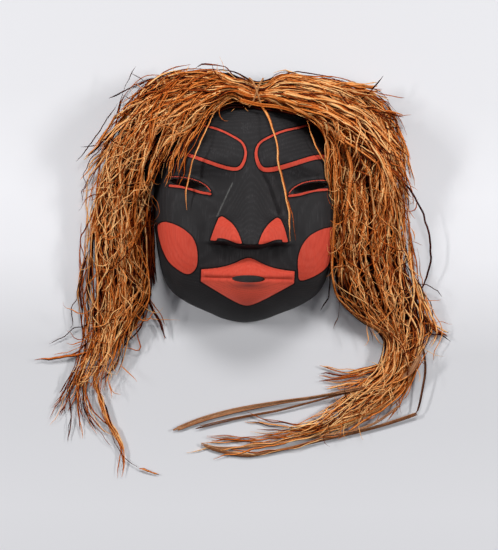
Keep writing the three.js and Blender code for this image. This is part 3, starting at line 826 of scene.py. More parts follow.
class Bundle:
    """Fibres gathered for one piece: a path each, with its width, tone and twist."""

    def __init__(self, seed):
        self.chance = np.random.default_rng(seed)
        self.paths = []

    def lay(self, points, width, tone, taper=0.25, through=False, tip=0.22, turning=1.0):
        """Adds one fibre; its ends taper over a share of its length, down to a share of its width."""
        points = np.asarray(points, float)
        if not through:
            points = clear_of_face(points)
            points[:, 2] = np.maximum(points[:, 2], 0.5 + 0.42 * width)
        n = len(points)
        t = np.linspace(0, 1, n)
        ends = mix(tip, 1, ramp(0, taper, np.minimum(t, 1 - t)))
        widths = width * ends * (1 + 0.15 * self.chance.normal() * np.sin(9 * t + self.chance.uniform(0, 6)))
        twist = turning * self.chance.normal(0, 0.35)
        twist = twist + turning * self.chance.normal(0, 0.5) * meander(self.chance, t, 1.3, 0.5)
        fibre = self.chance.uniform(0, 100)
        self.paths.append((points, widths, tone + np.zeros(n), twist, np.full(n, fibre)))

    def along_hank(
        self, count, starts, lengths, across, depth, width, tone,
        drift=0.12, wander=1.0, step=FIBRE_STEP, course=None, over_band=False, edge_out=1.02, lean=0.0,
        stop=(-55, 14), body=0.85,
    ):
        """Fibres laid along the hank, drifting across it; a course leads them from side to side.

        Ranges say where they start and how long they are, along the hank from its waist, where they lie
        across it and up through it, and how wide they are; tone is their mean lightness and its spread.
        """
        chance = self.chance
        for _ in range(count):
            start = chance.uniform(*starts)
            length = chance.uniform(*lengths)
            length = max(40, min(length, LEFT_END + chance.uniform(*stop) - start))
            n = max(5, int(length / step))
            run = np.linspace(start, start + length, n)
            u = np.linspace(0, 1, n)
            q = chance.uniform(*across)
            lock = (np.floor((q + 1) / 2 * LOCKS_ACROSS) + 0.5) / LOCKS_ACROSS * 2 - 1
            half_width = np.interp(start + length / 2, hank_run, hank_half_width)
            slant = lean + np.clip(chance.normal(0, drift), -2 * drift, 2 * drift)
            q = mix(q, lock, 0.25) + slant * length / half_width * (u - 0.5)
            q = q + wander * (0.05 * meander(chance, run, 130, 45) + 0.018 * meander(chance, run, 30, 15))
            if course:
                q = q + np.interp(run, *course)
            d = chance.uniform(*depth) + wander * 0.16 * meander(chance, run, 90, 30)
            q = np.where(q < -body, -body + 0.35 * (q + body), q)
            q = parted(run, q)
            q = np.clip(q, -edge_out, max(1.1, across[1]))
            if not over_band:
                by_band = ramp(-360, -310, run) * ramp(-60, -90, run)
                d = d - 0.55 * ramp(0, 0.3, q - np.interp(run, *BAND_EDGE)) * by_band
            points = in_hank(run, q, d)
            lightness = chance.normal(*tone) + np.interp(run, *LIGHTER_ALONG)
            self.lay(points, chance.uniform(*width), np.clip(lightness, 0, 1))

    def sprout(self, count, runs, across, lengths, depth, width, tone, curl):
        """Short free ends that spring out of the hank's surface and bend as they go, placed likewise."""
        chance = self.chance
        for _ in range(count):
            run = chance.uniform(*runs)
            q, d = chance.uniform(*across), chance.uniform(*depth)
            root = in_hank(run, q, d)
            ahead = in_hank(run + (2 if run > 0 else -2), q, d) - root
            heading = math.atan2(ahead[1], ahead[0]) + chance.normal(0, SPROUT_TURN)
            n = max(5, int(chance.uniform(*lengths) / FREE_END_STEP))
            bend = chance.normal(0, curl) + 0.5 * curl * meander(chance, np.arange(n) * FREE_END_STEP, 40, 14)
            angle = heading + bend * np.linspace(0, 1, n) ** 1.3
            steps = np.stack([np.cos(angle), np.sin(angle), np.full(n, chance.normal(0, 0.10))], 1)
            points = root + FREE_END_STEP * np.vstack([np.zeros(3), np.cumsum(steps, axis=0)[:-1]])
            self.lay(points, chance.uniform(*width), np.clip(chance.normal(*tone), 0, 1), taper=0.4)

    def lock(self, path, count, spread, width, tone, end_spread=1.0, gather=0.6, sway=0.9):
        """A tress of fibres that follow one path of x, y, z and come together towards its end."""
        chance = self.chance
        centre = flowing_curve(path, 12)
        far = run_along(centre)
        for _ in range(count):
            first = chance.uniform(0, 0.35) * far[-1]
            last = far[-1] * min(1.0, chance.uniform(0.6, 1.04))
            run = np.linspace(first, last, max(5, int((last - first) / 5)))
            points = places_at(centre, far, run)
            u = run / far[-1]
            closing = 1 - gather * np.sin(math.pi * np.minimum(u, 1)) ** 0.7 + (end_spread - 1) * u**3
            off = chance.normal(0, 0.5) * spread * closing + sway * meander(chance, run, 60, 22)
            points = points + beside(points) * off[:, None]
            points[:, 2] += chance.uniform(-0.3, 0.5) * spread * 0.6 * (1 - 0.6 * u)
            points[:, 2] += 0.5 * meander(chance, run, 40, 20)
            self.lay(points, chance.uniform(*width), np.clip(chance.normal(*tone), 0, 1), taper=0.1)

    def stray(self, width, tone, path, crinkle=0.6):
        """One fibre through the given x, y, z places."""
        points, run = evenly(flowing_curve(path, 10), FREE_END_STEP, 6)
        points[:, 0] += crinkle * meander(self.chance, run, 38, 13)
        points[:, 1] += crinkle * meander(self.chance, run, 33, 12)
        self.lay(points, width, tone, taper=0.16)

    def ribbon(self, width, tone, path):
        """A broad strip that has split lengthwise: narrow blunt fibres side by side along one path."""
        middle, run = evenly(flowing_curve(path, 12), 6, 8)
        for place in np.linspace(-0.5, 0.5, max(2, round(width / SPLIT_SPACING))):
            end = len(run) - self.chance.integers(0, 2)
            off = place * (width - SPLIT_SPACING) * (0.75 + 0.25 * np.cos(run / 47))
            points = (middle + beside(middle) * off[:, None])[:end]
            lightness = np.clip(tone + self.chance.normal(0, 0.10), 0, 1)
            self.lay(points, SPLIT_WIDTH, lightness, taper=0.01, tip=0.6, turning=0.3)


def fibre_sweeper():
    """The node tree that turns threads of points into closed flat strips of bark."""
    tree = bpy.data.node_groups.new("bark_strips", "GeometryNodeTree")
    sizes = (
        ("Threads", "Geometry", None), ("Strip Flatness", "Float", FIBRE_FLATNESS),
        ("Crinkle", "Float", FIBRE_CRINKLE), ("Crinkle Scale", "Float", 90.0), ("Sides", "Int", 3),
        ("Bark", "Material", None),
    )
    for name, kind, value in sizes:
        socket = tree.interface.new_socket(name, in_out="INPUT", socket_type="NodeSocket" + kind)
        if value is not None:
            socket.default_value = value
    tree.interface.new_socket("Strips", in_out="OUTPUT", socket_type="NodeSocketGeometry")
    strips = Recipe(tree)
    given = strips.add("NodeGroupInput").outputs

    def made(kind, settings=None, **inputs):
        return strips.add(kind, settings, **inputs).outputs[0]

    def named(name):
        given_by = strips.add("GeometryNodeInputNamedAttribute", {"data_type": "FLOAT"}, Name=name)
        return given_by.outputs["Attribute"]

    wave = strips.add(
        "ShaderNodeTexNoise", {"noise_dimensions": "4D"}, Vector=made("GeometryNodeInputPosition"),
        W=named("fibre"), Scale=given["Crinkle Scale"], Detail=1.0,
    ).outputs["Color"]
    centred = made("ShaderNodeVectorMath", {"operation": "SUBTRACT"}, n0=wave, n1=(0.5, 0.5, 0.5))
    sized = made("ShaderNodeVectorMath", {"operation": "SCALE"}, n0=centred, Scale=given["Crinkle"])
    threads = made("GeometryNodeMeshToCurve", Mesh=given["Threads"])
    threads = made("GeometryNodeSetPosition", Geometry=threads, Offset=sized)
    threads = made("GeometryNodeSetCurveNormal", {"mode": "Z_UP"}, Curve=threads)
    threads = made("GeometryNodeSetCurveTilt", Curve=threads, Tilt=named("twist"))
    ring = made("GeometryNodeCurvePrimitiveCircle", Radius=1.0, Resolution=given["Sides"])
    squeeze = made("ShaderNodeCombineXYZ", X=given["Strip Flatness"], Y=1.0, Z=1.0)
    flat = made("GeometryNodeTransform", Geometry=ring, Scale=squeeze, Rotation=(0, 0, math.pi / 2))
    swept = made(
        "GeometryNodeCurveToMesh", Curve=threads, Profile_Curve=flat, Scale=named("half_width"),
        Fill_Caps=True,
    )
    real = made("GeometryNodeRealizeInstances", Geometry=made("GeometryNodeSetShadeSmooth", Geometry=swept))
    strips.add("NodeGroupOutput", n0=made("GeometryNodeSetMaterial", Geometry=real, Material=given["Bark"]))
    return tree


BARK_SHADES = [
    (0.0, (0.010, 0.0008, 0.0005)), (0.2, (0.085, 0.007, 0.001)), (0.42, (0.42, 0.075, 0.007)),
    (0.68, (0.80, 0.245, 0.046)), (1.0, (0.98, 0.59, 0.25)),
]
OUTER_BARK_SHADES = [
    (0.0, (0.020, 0.006, 0.004)), (0.3, (0.110, 0.034, 0.013)), (0.6, (0.36, 0.145, 0.062)),
    (1.0, (0.66, 0.39, 0.21)),
]


def bark_material(name, strip_shades):
    """Bark that goes from dark to light with each fibre's tone, its patches and its fine grain, with painted
    shade along each strip's sides.
    """
    bark = Wood(name)
    bark.surface("Specular IOR Level", 0.08)
    long_patches = bark.noise(bark.place(), 55.0, 3.0)
    fine_fibres = bark.noise(bark.place(), 700.0, 2.0, 0.65)
    tone = bark.plus(bark.field("tone"), bark.either_way(long_patches, 0.35))
    tone = bark.plus(tone, bark.either_way(fine_fibres, 0.5))
    # Each strip is painted darker where its surface turns away from straight up, along its edges and sides:
    # painted shade between the fibres
    facing_shade = bark.add("ShaderNodeSeparateXYZ", Vector=bark.add("ShaderNodeNewGeometry").outputs["Normal"])
    tone = bark.sums("SUBTRACT", tone, bark.fade(facing_shade.outputs["Z"], 0.80, 0.05, 0.0, 0.36))
    bark.surface("Base Color", bark.shades(tone, strip_shades))
    bark.surface("Roughness", bark.plus(0.42, bark.times(fine_fibres, 0.3)))
    bark.grained(fine_fibres, 0.0003, 0.6)
    return bark.material


inner_bark = bark_material("shredded_cedar_bark", BARK_SHADES)
outer_bark = bark_material("outer_cedar_bark", OUTER_BARK_SHADES)
strip_tree = fibre_sweeper()


def bark_piece(
    name, bundle, crinkle=FIBRE_CRINKLE, material=inner_bark, node="bark_hair", sides=3,
    flatness=FIBRE_FLATNESS,
):
    """Sweeps a bundle's threads into one plain mesh that stands for its part of the object."""
    points, widths, tones, twists, fibres = (np.concatenate(part) for part in zip(*bundle.paths))
    ends = np.cumsum([len(path[0]) for path in bundle.paths])
    first = np.delete(np.arange(len(points) - 1), ends[:-1] - 1)
    joints = np.stack([first, first + 1], 1)
    threads = bpy.data.meshes.new(name + "_threads")
    threads.from_pydata(metres(points).tolist(), joints.tolist(), [])
    fields = {"half_width": widths * 0.0005, "tone": tones, "twist": twists, "fibre": fibres}
    for label, values in fields.items():
        threads.attributes.new(label, "FLOAT", "POINT").data.foreach_set("value", values.astype(np.float32))
    piece = put(name, threads)
    sweep = piece.modifiers.new("strips", "NODES")
    sweep.node_group = strip_tree
    given = {"Strip Flatness": flatness, "Crinkle": crinkle, "Sides": sides, "Bark": material}
    for socket in strip_tree.interface.items_tree:
        if socket.in_out == "INPUT" and socket.name in given:
            sweep[socket.identifier] = given[socket.name]
    settle(piece).name = name
    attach(piece, "root")
    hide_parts(node)

# --- The heart of the hank ---
# Broad strips of the inner bark under all the others, which give the falls their body; their dark tones are
# painted shade, for the shade deep in the hank.
# They rest on the ground on both sides of the face, and the lashing holds them on the crown.
heart = Bundle(11)
heart.along_hank(
    165, (RIGHT_END + 80, LEFT_END - 250), (200, 480), (-0.72, 0.88), (-0.9, -0.6), (4, 7), (0.30, 0.10),
    drift=0.05, step=16, stop=(-130, -60),
)
heart.along_hank(
    220, (RIGHT_END + 80, LEFT_END - 250), (200, 480), (-0.68, 0.84), (-0.5, 0.2), (3.5, 7), (0.08, 0.05),
    drift=0.05, step=13, stop=(-130, -60),
)
bark_piece("bark_heart", heart)

# --- The right fall ---
# Broad and fine fibres of the inner bark, from the crown round the temple to the ground: those
# beneath, the hanging ones, the outer edge, the ones that cross over from the crown, and free ends.
right = Bundle(23)
# The fibres beneath are given a darker tone: painted shade for their depth in the fall
right.along_hank(105, (RIGHT_END + 30, -10), (120, 330), (-0.80, 0.94), (0.1, 0.7), (2.0, 4.4), (0.27, 0.15))
right.along_hank(
    180, (RIGHT_END, -150), (90, 240), (-0.84, 1.0), (0.75, 1.35), (1.1, 3.3), (0.77, 0.32), drift=0.2,
)
right.along_hank(
    24, (RIGHT_END + 120, -110), (70, 200), (-1.08, -0.85), (0.0, 1.0), (1.0, 2.2), (0.55, 0.2), wander=1.8,
    edge_out=1.2, body=1.2,
)
right.along_hank(
    40, (-290, -60), (60, 170), (-1.08, -0.6), (0.6, 1.4), (1.4, 3.4), (0.74, 0.2), drift=0.2, wander=1.5,
    edge_out=1.2, body=1.2,
)
right.along_hank(
    24, (-250, -110), (50, 110), (-1.05, -0.8), (0.2, 1.1), (1.2, 2.6), (0.58, 0.2), drift=0.3, lean=0.2,
    wander=1.5, edge_out=1.28, body=1.3, stop=(0, 0),
)
right.along_hank(
    60, (-190, -60), (70, 190), (-0.9, 0.9), (1.0, 1.5), (1.8, 4.2), (0.70, 0.26), drift=0.2, stop=(0, 0),
)
right.along_hank(
    130, (-262, -60), (100, 240), (-0.3, 0.35), (1.1, 1.8), (1.8, 4.4), (0.77, 0.24), drift=0.1,
    course=([-330, -250, -200, -120, -60, 20], [-1.3, -0.95, -0.6, 0.1, 0.45, 0.1]), over_band=True,
    edge_out=1.2, body=1.2,
)
right.along_hank(
    105, (RIGHT_END + 60, -150), (50, 150), (-0.9, 0.9), (1.15, 1.8), (0.9, 2.0), (0.80, 0.30), drift=0.5,
    wander=3.0, step=5,
)
right.along_hank(
    44, (-400, -180), (60, 130), (-0.7, 0.6), (1.1, 1.7), (1.4, 3.0), (0.68, 0.28), drift=0.2, lean=-0.34,
    wander=2.4, step=5,
)
right.sprout(
    330, (RIGHT_END + 60, -110), (-1.05, 0.9), (14, 46), (0.5, 1.6), (0.8, 1.8), (0.62, 0.30), curl=1.4,
)
right.sprout(80, (-420, -200), (-0.75, 0.75), (30, 75), (0.9, 1.6), (0.9, 1.8), (0.54, 0.24), curl=2.4)
bark_piece("bark_right_fall", right, crinkle=FALL_CRINKLE)

# --- The left fall ---
# The same fibres down the other side of the face, with those that fan out over it from the lashing.
# Nothing but the lashing holds them, so they lie loose on the edge of the carving.
left = Bundle(37)
# The fibres beneath are given a darker tone: painted shade for their depth in the fall
left.along_hank(
    110, (-60, LEFT_END - 120), (120, 330), (-0.68, 0.94), (0.1, 0.7), (2.0, 4.4), (0.19, 0.14),
    stop=(-90, -10), body=0.68,
)
left.along_hank(
    185, (-30, LEFT_END - 90), (90, 240), (-0.72, 1.0), (0.75, 1.35), (1.1, 3.3), (0.77, 0.32), drift=0.2,
    body=0.68,
)
left.along_hank(
    90, (8, 90), (60, 150), (-0.9, 0.5), (1.05, 1.8), (1.6, 4.0), (0.67, 0.28), drift=0.36, lean=0.10,
)
left.along_hank(
    12, (200, LEFT_END - 100), (90, 220), (-1.12, -0.98), (0.0, 0.6), (1.2, 2.4), (0.55, 0.2), wander=1.6,
    edge_out=1.2, body=1.2,
)
left.along_hank(
    105, (10, LEFT_END - 120), (50, 140), (-0.80, 0.9), (1.15, 1.8), (0.9, 2.2), (0.80, 0.30), drift=0.5,
    wander=3.0, step=5, body=0.7,
)
left.along_hank(
    26, (60, 190), (50, 110), (-1.05, -0.8), (0.2, 1.1), (1.2, 2.6), (0.52, 0.2), drift=0.3, lean=-0.2,
    wander=1.5, edge_out=1.28, body=1.3,
)
# Dark fibres low on the ground between the fall and the jaw: painted shade for the shadow in that gap
left.along_hank(
    44, (220, LEFT_END - 200), (90, 200), (1.0, 1.34), (-0.9, -0.3), (2.5, 5), (0.20, 0.08), drift=0.05,
    stop=(-190, -140),
)
left.sprout(330, (30, LEFT_END - 10), (-0.9, 0.95), (14, 50), (0.5, 1.6), (0.8, 1.8), (0.62, 0.30), curl=1.4)
left.sprout(70, (230, LEFT_END - 60), (-0.6, 0.9), (30, 70), (0.9, 1.6), (0.9, 1.8), (0.56, 0.24), curl=2.4)
bark_piece("bark_left_fall", left, crinkle=FALL_CRINKLE)

# --- The ends of both falls ---
# Tresses of the same bark that come away from the falls and spread over the ground.
# Each one: fibres, spread, heights at the root and the tip, then the x and y of places on its path.
LEFT_ENDS = [
    (3, 5, 8, 2, [(-178, 2), (-223, -42), (-252, -51), (-281, -56)]),
    (5, 8, 8, 2, [(-212, -30), (-226, -72), (-241, -108), (-262, -141)]),
    (3, 6, 8, 2, [(-208, -40), (-222, -80), (-238, -104), (-256, -136)]),
    (4, 6, 8, 2, [(-212, -40), (-234, -89), (-235, -127), (-243, -163)]),
    (3, 6, 8, 2, [(-206, -45), (-218, -89), (-228, -112), (-238, -142)]),
    (5, 6, 8, 2, [(-204, -45), (-221, -89), (-218, -117), (-204, -158)]),
    (7, 8, 8, 2, [(-200, -40), (-214, -90), (-206, -125), (-194, -145), (-170, -166)]),
    (4, 5, 8, 2, [(-196, -50), (-192, -99), (-172, -145), (-154, -185)]),
    (6, 7, 9, 3, [(-172, -10), (-164, -38), (-172, -66), (-186, -88)]),
]
TRESSES = [
    (10, 5, 8, 2, [(-196, -40), (-199, -80), (-192, -104), (-182, -134), (-166, -160), (-159, -184),
     (-162, -214)]),
    (4, 4, 14, 4, [(-148, 75), (-135, 43), (-123, 16), (-104, -24)]),
    (12, 14, 12, 6, [(-150, 25), (-146, -3), (-165, -20), (-190, -35)]),
    (4, 6, 24, 10, [(-172, 285), (-198, 240), (-226, 206)]),
    (6, 8, 52, 14, [(-120, 300), (-155, 286), (-188, 262)]),
    (6, 8, 42, 10, [(-140, 285), (-180, 250), (-208, 216)]),
    (5, 8, 34, 8, [(-150, 262), (-190, 222), (-214, 180)]),
    (12, 7, 46, 20, [(100, 316), (132, 322), (154, 320), (180, 321)]),
    (6, 9, 50, 18, [(110, 312), (155, 308), (186, 300), (200, 292)]),
    (7, 9, 56, 16, [(105, 300), (150, 292), (185, 284), (208, 277)]),
    (8, 10, 56, 14, [(120, 275), (165, 255), (195, 238), (214, 222)]),
    (7, 9, 50, 12, [(140, 258), (175, 234), (203, 212), (214, 198)]),
    (9, 12, 12, 4, [(228, 62), (250, 20), (258, -6), (240, -30)]),
    (5, 5, 12, 4, [(228, 30), (258, 0), (277, -14)]),
    (9, 12, 9, 2, [(205, -80), (165, -118), (122, -138), (86, -143), (46, -141), (4, -137)]),
    (8, 12, 9, 2, [(205, -85), (140, -132), (60, -156), (-44, -172)]),
    (5, 8, 7, 2, [(210, -80), (135, -135), (40, -158), (-74, -162)]),
    (2, 2, 8, 2, [(160, -143), (112, -156), (39, -176), (-30, -176)]),
    (13, 7, 12, 3, [(236, -25), (212, -46), (180, -58), (139, -69), (104, -69)]),
    (8, 6, 10, 3, [(232, -40), (200, -64), (152, -80), (112, -87)]),
    (16, 22, 12, 3, [(225, -60), (205, -90), (170, -118), (110, -140)]),
    (12, 16, 14, 4, [(236, -30), (228, -62), (214, -92), (180, -124)]),
]
ends = Bundle(41)
for tresses, width, tone, opened in ((TRESSES, (1.2, 3.0), 0.70, 2.0), (LEFT_ENDS, (0.9, 2.2), 0.44, 2.6)):
    for count, spread, root, tip, places in tresses:
        path = np.column_stack([places, np.linspace(root, tip, len(places))])
        ends.lock(path, count, spread, width, (tone, 0.26), end_spread=opened, sway=2.0)
bark_piece("bark_ends", ends)

# --- Loose fibres ---
# Inner bark that has slipped out of the hank, in thin locks and single fibres. They hang over the
# brow, stand off the edges of the falls or lie on the ground, and the hank holds them at the crown.
# The fringe over the temples, in locks: fibres, spread, then the places on its path
FRINGE = [
    (9, 8, [(-46, 290, 84), (-64, 263, 88), (-77, 241, 90), (-89, 217, 84), (-94, 197, 76),
     (-99, 174, 64)]),
    (11, 9, [(-55, 290, 82), (-76, 265, 82), (-90, 245, 82), (-101, 221, 74), (-108, 200, 66),
     (-111, 178, 54)]),
    (9, 10, [(-66, 290, 78), (-90, 262, 76), (-107, 238, 68), (-118, 210, 56), (-120, 182, 48)]),
    (4, 8, [(-84, 276, 70), (-112, 238, 60), (-134, 205, 46), (-140, 176, 40)]),
    (9, 9, [(40, 290, 84), (66, 279, 86), (95, 264, 88), (119, 248, 84), (147, 232, 74), (180, 214, 46),
     (206, 195, 24), (218, 172, 14)]),
    (8, 9, [(60, 288, 84), (92, 275, 86), (122, 257, 82), (152, 241, 70), (184, 226, 44), (212, 212, 22)]),
    (5, 5, [(84, 274, 76), (99, 259, 78), (102, 229, 76), (104, 196, 68), (110, 168, 60)]),
    (9, 9, [(96, 266, 78), (112, 232, 76), (120, 190, 62), (124, 120, 46)]),
]
# Single fibres over the face: width, tone, height over the face at the middle, then x and y of places
LOOSE_OVER_FACE = [
    (3.2, 0.80, 15, [(-40, 290), (-52, 269), (-63, 242), (-73, 218), (-79, 194), (-83, 172), (-82, 147)]),
    (3.8, 0.82, 14, [(8, 292), (18, 281), (26, 261), (33, 236), (35, 211), (41, 188), (46, 170), (51, 142),
     (53, 109)]),
    (1.5, 0.45, 9, [(44, 174), (52, 155), (57, 133), (61, 110)]),
    (2.4, 0.80, 12, [(70, 288), (76, 275), (79, 254), (90, 227), (105, 208)]),
    (2.8, 0.78, 10, [(98, 275), (101, 259), (101, 223), (107, 205), (112, 190), (115, 163)]),
    (1.1, 0.85, 5, [(-13, 292), (-18, 286), (-26, 278)]),
    (1.1, 0.85, 5, [(-13, 292), (-9, 286), (-3, 279)]),
]
# Fibres that have sprung loose at the edges: width, tone, places
SPRUNG = [
    (2.2, 0.30, [(-24, 328, 66), (-34, 336, 68), (-50, 340, 66), (-62, 341, 60), (-74, 337, 52)]),
    (2.0, 0.12, [(-130, 324, 34), (-142, 318, 30), (-166, 307, 26), (-188, 296, 24)]),
    (1.2, 0.15, [(-180, 268, 22), (-176, 279, 24), (-172, 296, 25), (-166, 312, 26), (-159, 330, 27),
     (-152, 339, 27)]),
    (1.2, 0.15, [(-140, 320, 26), (-147, 324, 26), (-159, 330, 27)]),
    (1.8, 0.15, [(-176, 290, 18), (-188, 271, 18), (-197, 257, 17), (-211, 235, 15), (-230, 211, 12)]),
    (1.2, 0.12, [(-196, 232, 16), (-203, 233, 15), (-218, 231, 14), (-224, 231, 14)]),
    (1.4, 0.20, [(-182, 245, 16), (-192, 233, 15), (-210, 215, 14), (-218, 199, 13), (-221, 194, 12),
     (-217, 185, 12), (-215, 179, 11), (-222, 173, 10), (-221, 160, 9)]),
    (2.0, 0.35, [(-198, 170, 12), (-204, 147, 11), (-214, 125, 10), (-222, 109, 9), (-216, 82, 9),
     (-214, 67, 8), (-219, 44, 8), (-221, 29, 7)]),
    (3.2, 0.18, [(-212, 90, 9), (-217, 71, 8), (-221, 29, 7), (-216, 6, 5)]),
    (1.4, 0.15, [(-220, 60, 8), (-224, 44, 8), (-226, 26, 7), (-232, 16, 6), (-230, -7, 5),
     (-234, -13, 4)]),
    (1.4, 0.12, [(-190, -4, 8), (-205, -6, 7), (-219, -10, 6), (-228, -12, 5), (-239, -22, 4),
     (-262, -35, 3)]),
    (4.2, 0.50, [(-180, -38, 9), (-193, -41, 8), (-214, -46, 7), (-245, -52, 6), (-280, -56, 5)]),
    (4.2, 0.16, [(-146, 80, 14), (-143, 63, 12), (-135, 43, 11), (-123, 16, 9), (-113, -3, 8),
     (-104, -24, 6)]),
    (1.8, 0.15, [(-137, 24, 8), (-128, 36, 10), (-125, 47, 12)]),
    (1.0, 0.85, [(-215, 12, 12), (-203, 9, 12), (-167, -1, 14), (-127, 2, 10), (-86, 1, 4)]),
    (2.0, 0.45, [(-138, 70, 16), (-137, 51, 14), (-133, 29, 12), (-131, 9, 10), (-143, -9, 9),
     (-160, -15, 12), (-182, -21, 14)]),
    (1.8, 0.50, [(-150, 12, 12), (-146, -3, 10), (-144, -18, 9), (-139, -39, 7), (-165, -37, 8),
     (-179, -40, 10)]),
    (1.2, 0.20, [(-176, -151, 4), (-162, -180, 4), (-150, -191, 3), (-137, -200, 3)]),
    (2.8, 0.70, [(-137, -200, 3), (-122, -204, 3), (-109, -208, 2)]),
    (3.2, 0.10, [(190, 220, 22), (199, 208, 20), (211, 194, 18), (226, 176, 17), (240, 149, 16),
     (248, 123, 15), (251, 98, 14), (249, 76, 12), (241, 53, 10), (234, 40, 9)]),
    (2.8, 0.52, [(203, 200, 20), (213, 180, 18), (218, 152, 16), (221, 126, 15), (228, 100, 14),
     (234, 71, 12), (236, 48, 10)]),
    (2.2, 0.05, [(120, 276, 36), (135, 290, 34), (153, 306, 32), (169, 322, 30), (179, 336, 28)]),
    (0.9, 0.10, [(160, 318, 24), (167, 318, 24), (176, 314, 23), (186, 307, 22), (190, 294, 20)]),
    (1.8, 0.35, [(140, 292, 26), (154, 294, 24), (174, 290, 22), (196, 281, 18), (207, 262, 15)]),
    (1.2, 0.60, [(160, 276, 20), (174, 282, 18), (194, 284, 16), (210, 285, 15), (221, 285, 14)]),
    (1.3, 0.15, [(152, 272, 22), (166, 270, 20), (187, 268, 18), (210, 268, 16)]),
    (2.4, 0.45, [(150, 300, 24), (163, 295, 22), (183, 279, 19), (197, 263, 16), (215, 249, 13)]),
    (2.4, 0.45, [(168, 272, 22), (179, 262, 20), (200, 243, 16), (219, 229, 12)]),
    (2.6, 0.50, [(168, 288, 22), (182, 273, 20), (198, 255, 16), (215, 238, 12)]),
    (2.0, 0.20, [(222, 20, 10), (240, 6, 9), (261, -6, 7), (277, -14, 5)]),
    (1.6, 0.10, [(214, 84, 14), (228, 70, 13), (240, 52, 12), (246, 30, 10), (258, 22, 8)]),
    (1.4, 0.12, [(226, 58, 13), (246, 56, 12), (262, 48, 10), (268, 40, 8)]),
    (1.8, 0.06, [(236, 26, 12), (246, 8, 11), (254, -10, 9), (270, -12, 7), (282, -20, 5)]),
    (1.5, 0.15, [(240, 48, 12), (254, 30, 10), (256, 8, 8), (250, -14, 6)]),
    (2.0, 0.05, [(114, 80, 18), (115, 63, 16), (114, 47, 14), (113, 35, 11), (103, 18, 6)]),
    (1.4, 0.35, [(126, 52, 12), (128, 36, 10), (128, 13, 7), (122, -7, 4)]),
]
loose = Bundle(59)
for count, spread, path in FRINGE:
    loose.lock(path, count, spread, (1.3, 3.2), (0.66, 0.22), end_spread=1.6, gather=0.3, sway=2.6)
for width, tone, lift, places in LOOSE_OVER_FACE:
    x, y = np.array(places, float).T
    z = face_height(x, y, fine=False) + lift * np.sin(np.linspace(0.35, 2.75, len(x)))
    loose.stray(width, tone, np.stack([x, y, z], 1), crinkle=0.7)
for width, tone, path in SPRUNG:
    loose.stray(width, tone, path, crinkle=0.9)
bark_piece("bark_loose", loose)

# --- Flat strips ---
# A few broad strips of the inner bark that came through the beating whole. They cross the brow and
# hang in the inner edge of the right fall, held at the crown with the rest: width, tone, places.
FLAT_STRIPS = [
    (5.0, 0.58, [(-16, 294, 76), (-2, 290, 79), (14, 287, 80), (31, 286, 80), (51, 282, 78), (76, 273, 77),
     (98, 258, 77)]),
    (4.2, 0.78, [(56, 283, 86), (76, 274, 88), (99, 260, 89), (121, 244, 85), (147, 229, 75),
     (176, 212, 50)]),
    (5.4, 0.70, [(128, 232, 76), (134, 208, 70), (133, 176, 64), (129, 137, 58), (126, 104, 50),
     (124, 64, 42)]),
    (3.6, 0.66, [(112, 210, 70), (115, 164, 60), (114, 117, 54), (114, 71, 48), (118, 50, 42)]),
    (4.4, 0.70, [(140, 190, 62), (143, 150, 56), (138, 112, 50), (141, 76, 40), (148, 46, 32)]),
    (3.4, 0.64, [(150, 176, 56), (156, 140, 50), (150, 104, 44), (158, 70, 36)]),
]
flat = Bundle(67)
for width, tone, path in FLAT_STRIPS:
    flat.ribbon(width, tone, path)
bark_piece("bark_flat_strips", flat, crinkle=STRIP_CRINKLE)

# --- Tail strips ---
# Long stiff strips of the browner outer bark, which lie in the tail of the right fall and on the
# ground below it: width, tone, places.
TAIL_STRIPS = [
    (7.0, 0.66, [(238, -40, 22), (226, -62, 18), (200, -77, 15), (150, -88, 11), (100, -99, 8),
     (52, -107, 6), (-7, -119, 4), (-52, -132, 3), (-92, -148, 3)]),
    (3.6, 0.50, [(232, -45, 18), (222, -66, 14), (176, -82, 11), (128, -96, 8), (87, -108, 5),
     (51, -118, 4), (-7, -130, 3), (-62, -144, 3)]),
    (3.0, 0.34, [(244, -30, 11), (248, -60, 9), (244, -90, 8), (238, -118, 6), (236, -121, 6)]),
    (4.6, 0.68, [(238, -119, 6), (220, -126, 5), (168, -143, 4), (112, -157, 4), (39, -175, 3),
     (8, -180, 3), (-30, -174, 3), (-50, -168, 3)]),
    (3.4, 0.70, [(214, -108, 12), (172, -137, 8), (83, -156, 5), (27, -166, 4), (-33, -170, 3),
     (-60, -164, 3)]),
]
tail = Bundle(71)
for width, tone, path in TAIL_STRIPS:
    tail.ribbon(width, tone, path)
bark_piece("bark_tail_strips", tail, crinkle=STRIP_CRINKLE, material=outer_bark)

# --- The lashing ---
# Two cords of twisted bark twine that cross over the middle of the hank. Each goes down through a
# hole in the brow, under the crown and out of its back, and is knotted inside the hollow.
TWINE_RADIUS = 1.3
TWINE_TURN = 7.0
HANK_CENTRE_Y, HANK_CENTRE_Z = 304.0, 57.0
HANK_HALF_LENGTH, HANK_HALF_THICKNESS = 20.5, 15.5
HANK_SLOPE = math.atan2(18, 34)
KNOT_RADIUS = 2.3
# In radii of the twine: how far each of its two plies runs from its middle, a ply, and a knot's turn
PLY_OFF, PLY_WIDTH, KNOT_WIDTH = 0.42, 1.25, 2.2


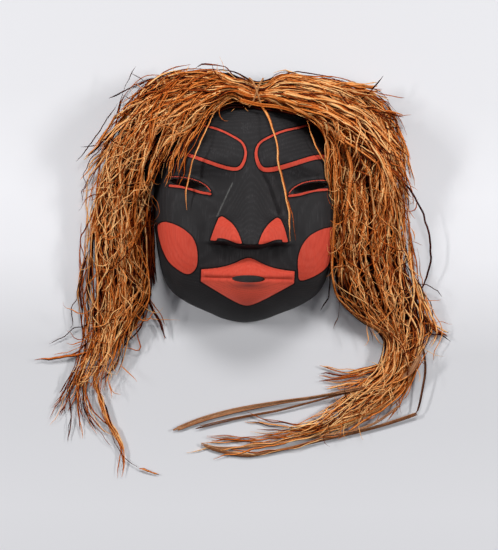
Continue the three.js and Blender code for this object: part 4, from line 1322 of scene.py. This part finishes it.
def twine_path(side, lift):
    """From the knot inside, up through the brow, over the hank and back in behind the crown."""
    points = [(-1, FRONT_HOLE_Y - 9, 22), (-1, FRONT_HOLE_Y - 2, 24), (-1, FRONT_HOLE_Y, 32),
              (-1, FRONT_HOLE_Y, 57), (-1, FRONT_HOLE_Y - 3, 68)]
    for turn in np.arange(22.5, 181, 22.5):
        angle = math.radians(turn)
        reach = TWINE_RADIUS + lift * math.exp(-(((turn - 90) / 30) ** 2))
        u = -(HANK_HALF_LENGTH + reach) * math.cos(angle)
        v = (HANK_HALF_THICKNESS + reach) * math.sin(angle)
        points.append((
            min(mix(-1, 1, turn / 140), 1),
            HANK_CENTRE_Y + u * math.cos(HANK_SLOPE) + v * math.sin(HANK_SLOPE),
            HANK_CENTRE_Z - u * math.sin(HANK_SLOPE) + v * math.cos(HANK_SLOPE),
        ))
    points += [(1, 321, BACK_HOLE_Z + 12), (1, 312, BACK_HOLE_Z + 1), (1, 281, BACK_HOLE_Z)]
    spread_out = [(LASHING_X + side * LASHING_SPREAD * w, y, z) for w, y, z in points]
    return evenly(curve_points(spread_out, 400), 1.8)


lashing = Bundle(71)
for side, lift in ((1, 0), (-1, 2.4)):
    centre, run = twine_path(side, lift)
    along = heading_along(centre)
    across = np.cross(along, [1, 0, 0])
    across /= np.linalg.norm(across, axis=1, keepdims=True)
    square_to_both = np.cross(along, across)
    for ply in (0, 1):
        angle = (2 * math.pi * run / TWINE_TURN + math.pi * ply)[:, None]
        strand = centre + PLY_OFF * TWINE_RADIUS * (np.cos(angle) * across + np.sin(angle) * square_to_both)
        lashing.lay(strand, PLY_WIDTH * TWINE_RADIUS, 0.62 + 0.1 * ply, taper=0.02, through=True)
    for end in (centre[0], centre[-1]):
        turn = np.linspace(0, 5 * math.pi, 34)
        coil = np.stack([np.cos(turn), np.sin(turn) * np.cos(turn / 3), np.sin(turn / 2.3)], -1)
        lashing.lay(end + KNOT_RADIUS * coil, KNOT_WIDTH * TWINE_RADIUS, 0.6, taper=0.05, through=True)

TWINE_SHADES = [(0.0, (0.04, 0.014, 0.005)), (0.5, (0.34, 0.125, 0.036)), (1.0, (0.62, 0.34, 0.15))]
twine = Wood("twisted_bark_twine")
twine.surface("Specular IOR Level", 0.2)
twine.surface("Roughness", 0.7)
fine_twine = twine.noise(twine.place(), 900.0, 2.0, 0.6)
twine_tone = twine.plus(twine.field("tone"), twine.either_way(fine_twine, 0.6))
twine.surface("Base Color", twine.shades(twine_tone, TWINE_SHADES))
bark_piece(
    "twine_lashing", lashing, crinkle=STRIP_CRINKLE, material=twine.material,
    node="lashing", sides=6, flatness=0.85,
)
